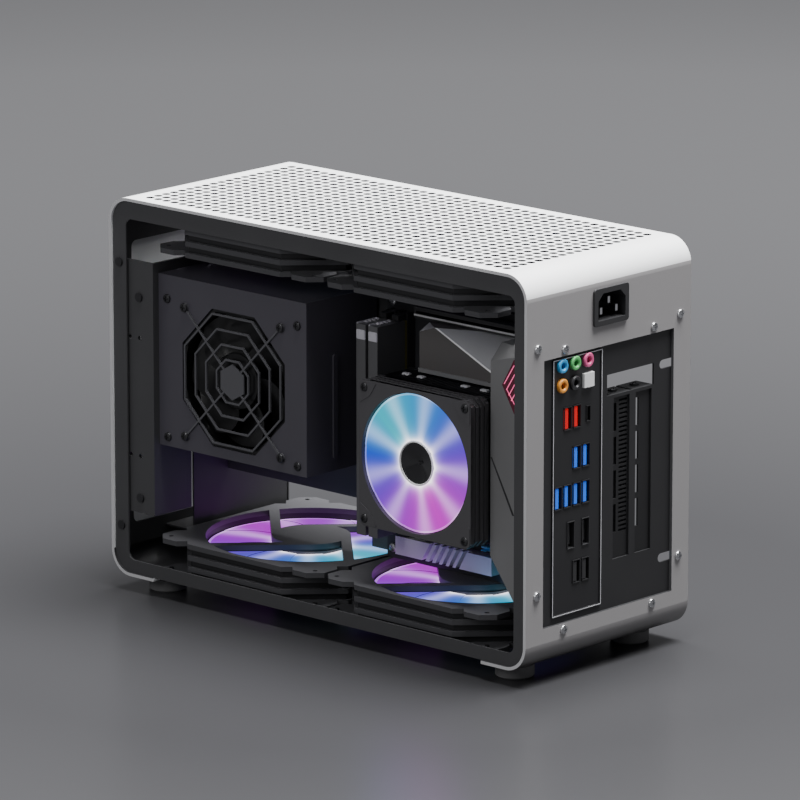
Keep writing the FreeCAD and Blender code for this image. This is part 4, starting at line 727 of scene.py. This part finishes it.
def build_cover():
    """The tower over the ports and its arm, as slanted facets."""
    face, arm, tower = 8.1, 30.1, TOWER_FACE
    # The arm's upright face takes the painted shade, its slanted facets the painted light and its ridge the
    # painted highlight
    pieces = [
        ("cover_arm", (face, 47.6, 171.2), (arm, 126.5, 197.8), COVER_PAINTED_SHADE, [
            (*ARM_RIDGE, (15, 94, 197.8)),
            ((arm, 47.6, 193.5), (arm, 60, 197.8), (21, 47.6, 197.8))], 2, [ARM_RIDGE]),
        ("cover_lip", (face, 47.6, 168.6), (arm + 1.2, 124.5, 171.2), COVER_GREY, [], 0, []),
        ("cover_tower", (face, 124.0, 41.1), (tower, 168.0, 200.9), COVER_GREY, [
            ((tower, 124, 191), (tower, 160, 200), (40, 124, 200.9)),
            ((tower, 124, 69.8), (tower, 145.3, 41.1), (20, 124, 69.8))], 0, []),
    ]
    for name, low, high, base, cuts, paint, ridges in pieces:
        mesh = faceted(name, low, high, cuts, paint, ridges)
        piece = add_object(name, mesh, "case", [base, PAINTED_HIGHLIGHT, COVER_PAINTED_LIGHT], smooth=False)
        if name == "cover_tower":
            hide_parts("io_cover")


def prism_mesh(drawing, outline, low, high, slot=0):
    """A flat plate along X from an outline of (y, z) corners, in millimetres."""
    rings = [[drawing.verts.new(Vector((x, y, z)) * MM) for y, z in outline] for x in (low, high)]
    faces = [drawing.faces.new(ring) for ring in rings]
    for step in range(len(outline)):
        after = (step + 1) % len(outline)
        faces.append(drawing.faces.new((rings[0][step], rings[0][after], rings[1][after], rings[1][step])))
    for face in faces:
        face.material_index = slot


def build_accent():
    """A dark red lens with plain lit bars, and a slanted groove, on the tower."""
    lens = surface("lens_red", srgb(96, 8, 42), rough=0.2, vary=0.15, grain=300, bump=0.02, coat=0.6)
    bar = surface("lens_bar", srgb(255, 150, 185), rough=0.3, vary=0.05, grain=300)
    light_up(bar, srgb(255, 90, 150), 0.9)
    near = TOWER_FACE

    def draw(drawing):
        outline = [(133.5, 177.8), (142.9, 194.6), (158, 198.0), (158, 158), (143.2, 161.2)]
        prism_mesh(drawing, outline, near - 0.3, near + 0.4)
        for step in range(4):
            y, z = 135.0 + 1.9 * step, 178.6 - 3.2 * step
            prism_mesh(drawing, [(y, z), (y + 0.6, z), (y + 8.6, z + 12.6), (y + 8.0, z + 12.6)],
                       near + 0.2, near + 0.6, 1)
        prism_mesh(drawing, [(137.4, 176.0), (137.4, 175.2), (143.5, 167.0), (143.5, 167.8)],
                   near + 0.2, near + 0.6, 1)
        prism_mesh(drawing, [(124.2, 131.5), (125.2, 131.5), (143.4, 98.0), (141.8, 98.0)],
                   near - 0.3, near + 0.15, 2)
    finishes = [lens, bar, SOCKET_PLASTIC]
    add_object("cover_accent", mesh_from("cover_accent", draw), "case", finishes, smooth=False)


build_cover()
build_accent()


# Details on the memory, the cooler and the shield, in millimetres

STICK_ROWS = (9.9, 19.9)
FLANGE_HALF, FLANGE_CORNER, FLANGE_BORE = 46.0, 5.0, 43.7
FLANGE_LEVELS = ((-0.15, 3.5), (12.5, 16.0))
PAD_PLACE = 41.0
TAB_ROWS = (43.5, 55.6, 91.7, 107.6)


def eased(drawing, low, high, bevel=0.3):
    """A box with eased edges, in millimetres."""
    block = bmesh.new()
    box_mesh(block, low, high)
    bmesh.ops.bevel(block, geom=block.edges[:], offset=bevel * MM, segments=2, affect="EDGES",
                    clamp_overlap=True)
    merge(drawing, block)


def build_memory_trim():
    """Pale ridges along the upper ends of the memory sticks and pale caps near the top."""
    top, near = 194.25, 42.1

    def draw(drawing):
        for y in STICK_ROWS:
            eased(drawing, (24.0, y - 3.8, top - 0.5), (near, y - 2.7, top + 0.9))
            for step in range(4):
                x = 24.6 + 3.4 * step
                eased(drawing, (x, y - 2.9, top - 0.4), (x + 1.5, y - 0.6 + 0.5 * (step % 2), top + 0.9))
            eased(drawing, (near - 0.6, y - 3.7, 184.8), (near + 0.5, y + 3.7, 190.8), 0.4)
    add_object("memory_trim", mesh_from("memory_trim", draw), "case", [MEMORY_TRIM])


build_memory_trim()


def rounded_square(half, radius, turn):
    """How far a rounded square reaches at an angle."""
    across, up = abs(math.cos(turn)), abs(math.sin(turn))
    reach = half / max(across, up)
    corner = half - radius
    if reach * min(across, up) > corner:
        along = corner * (across + up)
        reach = along + math.sqrt(max(0.0, along * along - 2 * corner * corner + radius * radius))
    return reach


def flange(drawing, matrix, half, radius, bore, low, high, sides=128):
    """A rounded square plate with a round opening."""
    rings = []
    for height in (low, high):
        for reaches in (None, bore):
            ring = []
            for step in range(sides):
                turn = 2 * math.pi * step / sides
                reach = reaches or rounded_square(half, radius, turn)
                spot = Vector((reach * math.cos(turn), reach * math.sin(turn), height)) * MM
                ring.append(drawing.verts.new(matrix @ spot))
            rings.append(ring)
    outer_low, inner_low, outer_high, inner_high = rings
    for first, second in ((outer_low, inner_low), (inner_low, inner_high), (inner_high, outer_high),
                          (outer_high, outer_low)):
        for step in range(sides):
            after = (step + 1) % sides
            drawing.faces.new((first[step], first[after], second[after], second[step]))


def build_cooler_details():
    """Square flanges and corner pads on the cooler's fan, and tabs on its heat sink."""
    face = near_face("cooler_fan_frame")
    matrix = facing((-1, 0, 0), face)
    corner = ((-9.5, 3.6), (-5.0, -3.5), (-3.5, -5.0), (3.6, -9.5), (4.4, -8.5), (4.4, 2.2), (2.2, 4.4),
              (-8.5, 4.4))

    def draw(drawing):
        for low, high in FLANGE_LEVELS:
            flange(drawing, matrix, FLANGE_HALF, FLANGE_CORNER, FLANGE_BORE, low, high)
        for across in (-1, 1):
            for up in (-1, 1):
                y, z = face.y / MM + PAD_PLACE * across, face.z / MM + PAD_PLACE * up
                outline = [(y + a * across, z + b * up) for a, b in corner]
                prism_mesh(drawing, outline, face.x / MM - 0.5, face.x / MM + 0.55)
    add_object("cooler_fan_flanges", mesh_from("cooler_fan_flanges", draw), "case", [FAN_PLASTIC])

    def draw_tabs(drawing):
        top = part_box("cooler_heatsink")[1].z / MM
        for y in TAB_ROWS:
            eased(drawing, (35.4, y - 2.8, top - 0.6), (38.6, y + 2.8, top + 0.8))
    add_object("cooler_tabs", mesh_from("cooler_tabs", draw_tabs), "case", [PALE_METAL])


build_cooler_details()


def build_shield_rim():
    """A bright line around the shield's edge."""
    left, right, low, high = 5.3, 49.75, 39.9, 198.65
    width, y = 0.5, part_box("io_shield")[1].y / MM
    bars = (((left, low), (left + width, high)),
            ((right - width, low), (right, high)),
            ((left + width, low), (right - width, low + width)),
            ((left + width, high - width), (right - width, high)))

    def draw(drawing):
        for (x_low, z_low), (x_high, z_high) in bars:
            box_mesh(drawing, (x_low, y - 0.4, z_low), (x_high, y + 0.1, z_high))
    add_object("shield_rim", mesh_from("shield_rim", draw), "case", [PALE_METAL], smooth=False)


build_shield_rim()


def build_port_inserts():
    """Fuller tongues that end just inside the mouths of the ports."""
    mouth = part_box("usb_shells")[1].y / MM
    for colour, finish, slot in (("red", USB_RED, "usb_red"), ("blue", USB_BLUE, "usb_blue"),
                                 ("black", SOCKET_PLASTIC, "black_plastic")):
        name = f"usb_tongues_{colour}"

        def draw(drawing):
            for low, high in groups(name):
                start, end = low / MM, high / MM
                eased(drawing, (start.x - 0.9, start.y, start.z - 0.2),
                      (end.x + 0.9, mouth - 0.35, end.z + 0.2), 0.25)
        piece = add_object(f"{name}_full", mesh_from(name, draw), "case", [finish])
        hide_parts(name)


build_port_inserts()


def build_slot_shade_sheet():
    """A dark sheet close behind the vents of the slot covers, a painted shade that keeps the vents dark."""
    low, high = [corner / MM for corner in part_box("slot_covers")]

    def draw(drawing):
        eased(drawing, (low.x + 0.4, low.y - 1.2, low.z + 6), (high.x - 0.4, low.y - 0.2, high.z - 8), 0.2)
    add_object("slot_shade_sheet", mesh_from("slot_shade_sheet", draw), "case", [SOCKET_PLASTIC])


build_slot_shade_sheet()


def build_fan_header():
    """A small pale blue header with pins of the same blue, below the cooler."""
    def draw(drawing):
        eased(drawing, (8.0, 86.4, 58.8), (12.6, 91.4, 62.6), 0.3)
        eased(drawing, (12.4, 86.4, 61.4), (16.6, 91.4, 62.6), 0.3)
        for step in range(3):
            y = 87.4 + 1.5 * step
            eased(drawing, (12.4, y - 0.3, 59.8), (17.6, y + 0.3, 60.4), 0.1)
    add_object("fan_header", mesh_from("fan_header", draw), "case", [HEADER_BLUE])


build_fan_header()


# Jacks in their own colours

def build_jacks():
    """Lathed jack rings, five on a grid over the node's box, each in its own colour."""
    low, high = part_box("audio_jacks")
    radius, bore = 4.4 * MM, 1.9 * MM
    columns = [low.x + radius, (low.x + high.x) / 2, high.x - radius]
    rows = [low.z + radius, high.z - radius]
    colours = {(2, 1): srgb(58, 164, 226), (1, 1): srgb(96, 190, 110), (0, 1): srgb(226, 96, 150),
               (2, 0): srgb(226, 150, 60), (1, 0): srgb(44, 44, 46)}
    depth = high.y - low.y
    profile = [(bore, 0), (radius * 0.96, 0), (radius, 0.3 * MM), (radius, depth - 0.6 * MM),
               (radius - 0.6 * MM, depth), (2.6 * MM, depth), (bore, depth - 0.8 * MM), (bore, 0)]
    names = list(colours)

    def draw(drawing):
        for slot, (column, row) in enumerate(names):
            lathe(drawing, profile, facing((0, 1, 0), Vector((columns[column], low.y, rows[row]))), slot=slot)
    finishes = [surface(f"jack_{column}_{row}", colours[column, row], rough=0.35, vary=0.06, grain=900)
                for column, row in names]
    rings = add_object("jack_rings", mesh_from("jack_rings", draw), "case", finishes)
    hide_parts("audio_jacks")


build_jacks()


# Stage

FLOOR_SIZE, FLOOR_REACH = 30, 3.0
SKY_GREY, SKY_STRENGTH = srgb(200, 200, 204), 0.28
FAR_CLIP = 100

# Area lamps: name, place, aim, size, power
LAMPS = (("overhead", (-0.35, 0.3, 2.4), (0, 0, 0.2), 1.5, 290),
         ("side", (1.95, 0.15, 1.25), (0, 0, 0.12), 1.0, 13.5))


def floor_finish():
    """A plain floor with painted shade: darkest near the case, growing a little paler with the distance from
    the case.
    """
    material = surface("floor", srgb(86, 86, 88), rough=0.3, vary=0.01, grain=40, bump=0.0, rough_vary=0.01)
    tree = material.node_tree
    place = tree.nodes.new("ShaderNodeTexCoord")
    length = tree.nodes.new("ShaderNodeVectorMath")
    length.operation = "LENGTH"
    tree.links.new(place.outputs["Object"], length.inputs[0])
    share = maths(tree, "DIVIDE", length.outputs["Value"], FLOOR_REACH)
    # Painted shade: the floor's colour darkens toward the case
    tree.links.new(ramp(tree, share, [(0.1, srgb(54, 54, 56)), (0.6, srgb(102, 102, 104))]),
                   tree.nodes["Principled BSDF"].inputs["Base Color"])
    return material


def stage():
    """A grey floor, soft light and the photograph's camera."""
    bpy.ops.mesh.primitive_plane_add(size=FLOOR_SIZE, location=(0, 0, 0))
    floor = bpy.context.object
    floor.name = "floor"
    floor.data.materials.append(floor_finish())

    world = bpy.data.worlds.new("studio")
    bpy.context.scene.world = world
    world.use_nodes = True
    background = world.node_tree.nodes["Background"]
    background.inputs["Color"].default_value = SKY_GREY
    background.inputs["Strength"].default_value = SKY_STRENGTH

    for name, place, aim, size, power in LAMPS:
        lamp = bpy.data.lights.new(name, "AREA")
        lamp.size = size
        lamp.energy = power
        holder = bpy.data.objects.new(name, lamp)
        bpy.context.scene.collection.objects.link(holder)
        holder.location = place
        holder.rotation_euler = (Vector(aim) - Vector(place)).to_track_quat("-Z", "Y").to_euler()

    turn, rise = math.radians(VIEW_AZIMUTH), math.radians(VIEW_ELEVATION)
    toward = Vector((math.sin(turn) * math.cos(rise), -math.cos(turn) * math.cos(rise), math.sin(rise)))
    lens = bpy.data.cameras.new("camera")
    lens.lens = VIEW_LENS
    lens.sensor_width = SENSOR_WIDTH
    lens.shift_x, lens.shift_y = VIEW_SHIFT
    lens.clip_end = FAR_CLIP
    camera = bpy.data.objects.new("camera", lens)
    bpy.context.scene.collection.objects.link(camera)
    camera.location = VIEW_TARGET + toward * VIEW_DISTANCE
    camera.rotation_euler = (-toward).to_track_quat("-Z", "Y").to_euler()
    bpy.context.scene.camera = camera


stage()

bpy.context.view_layer.update()
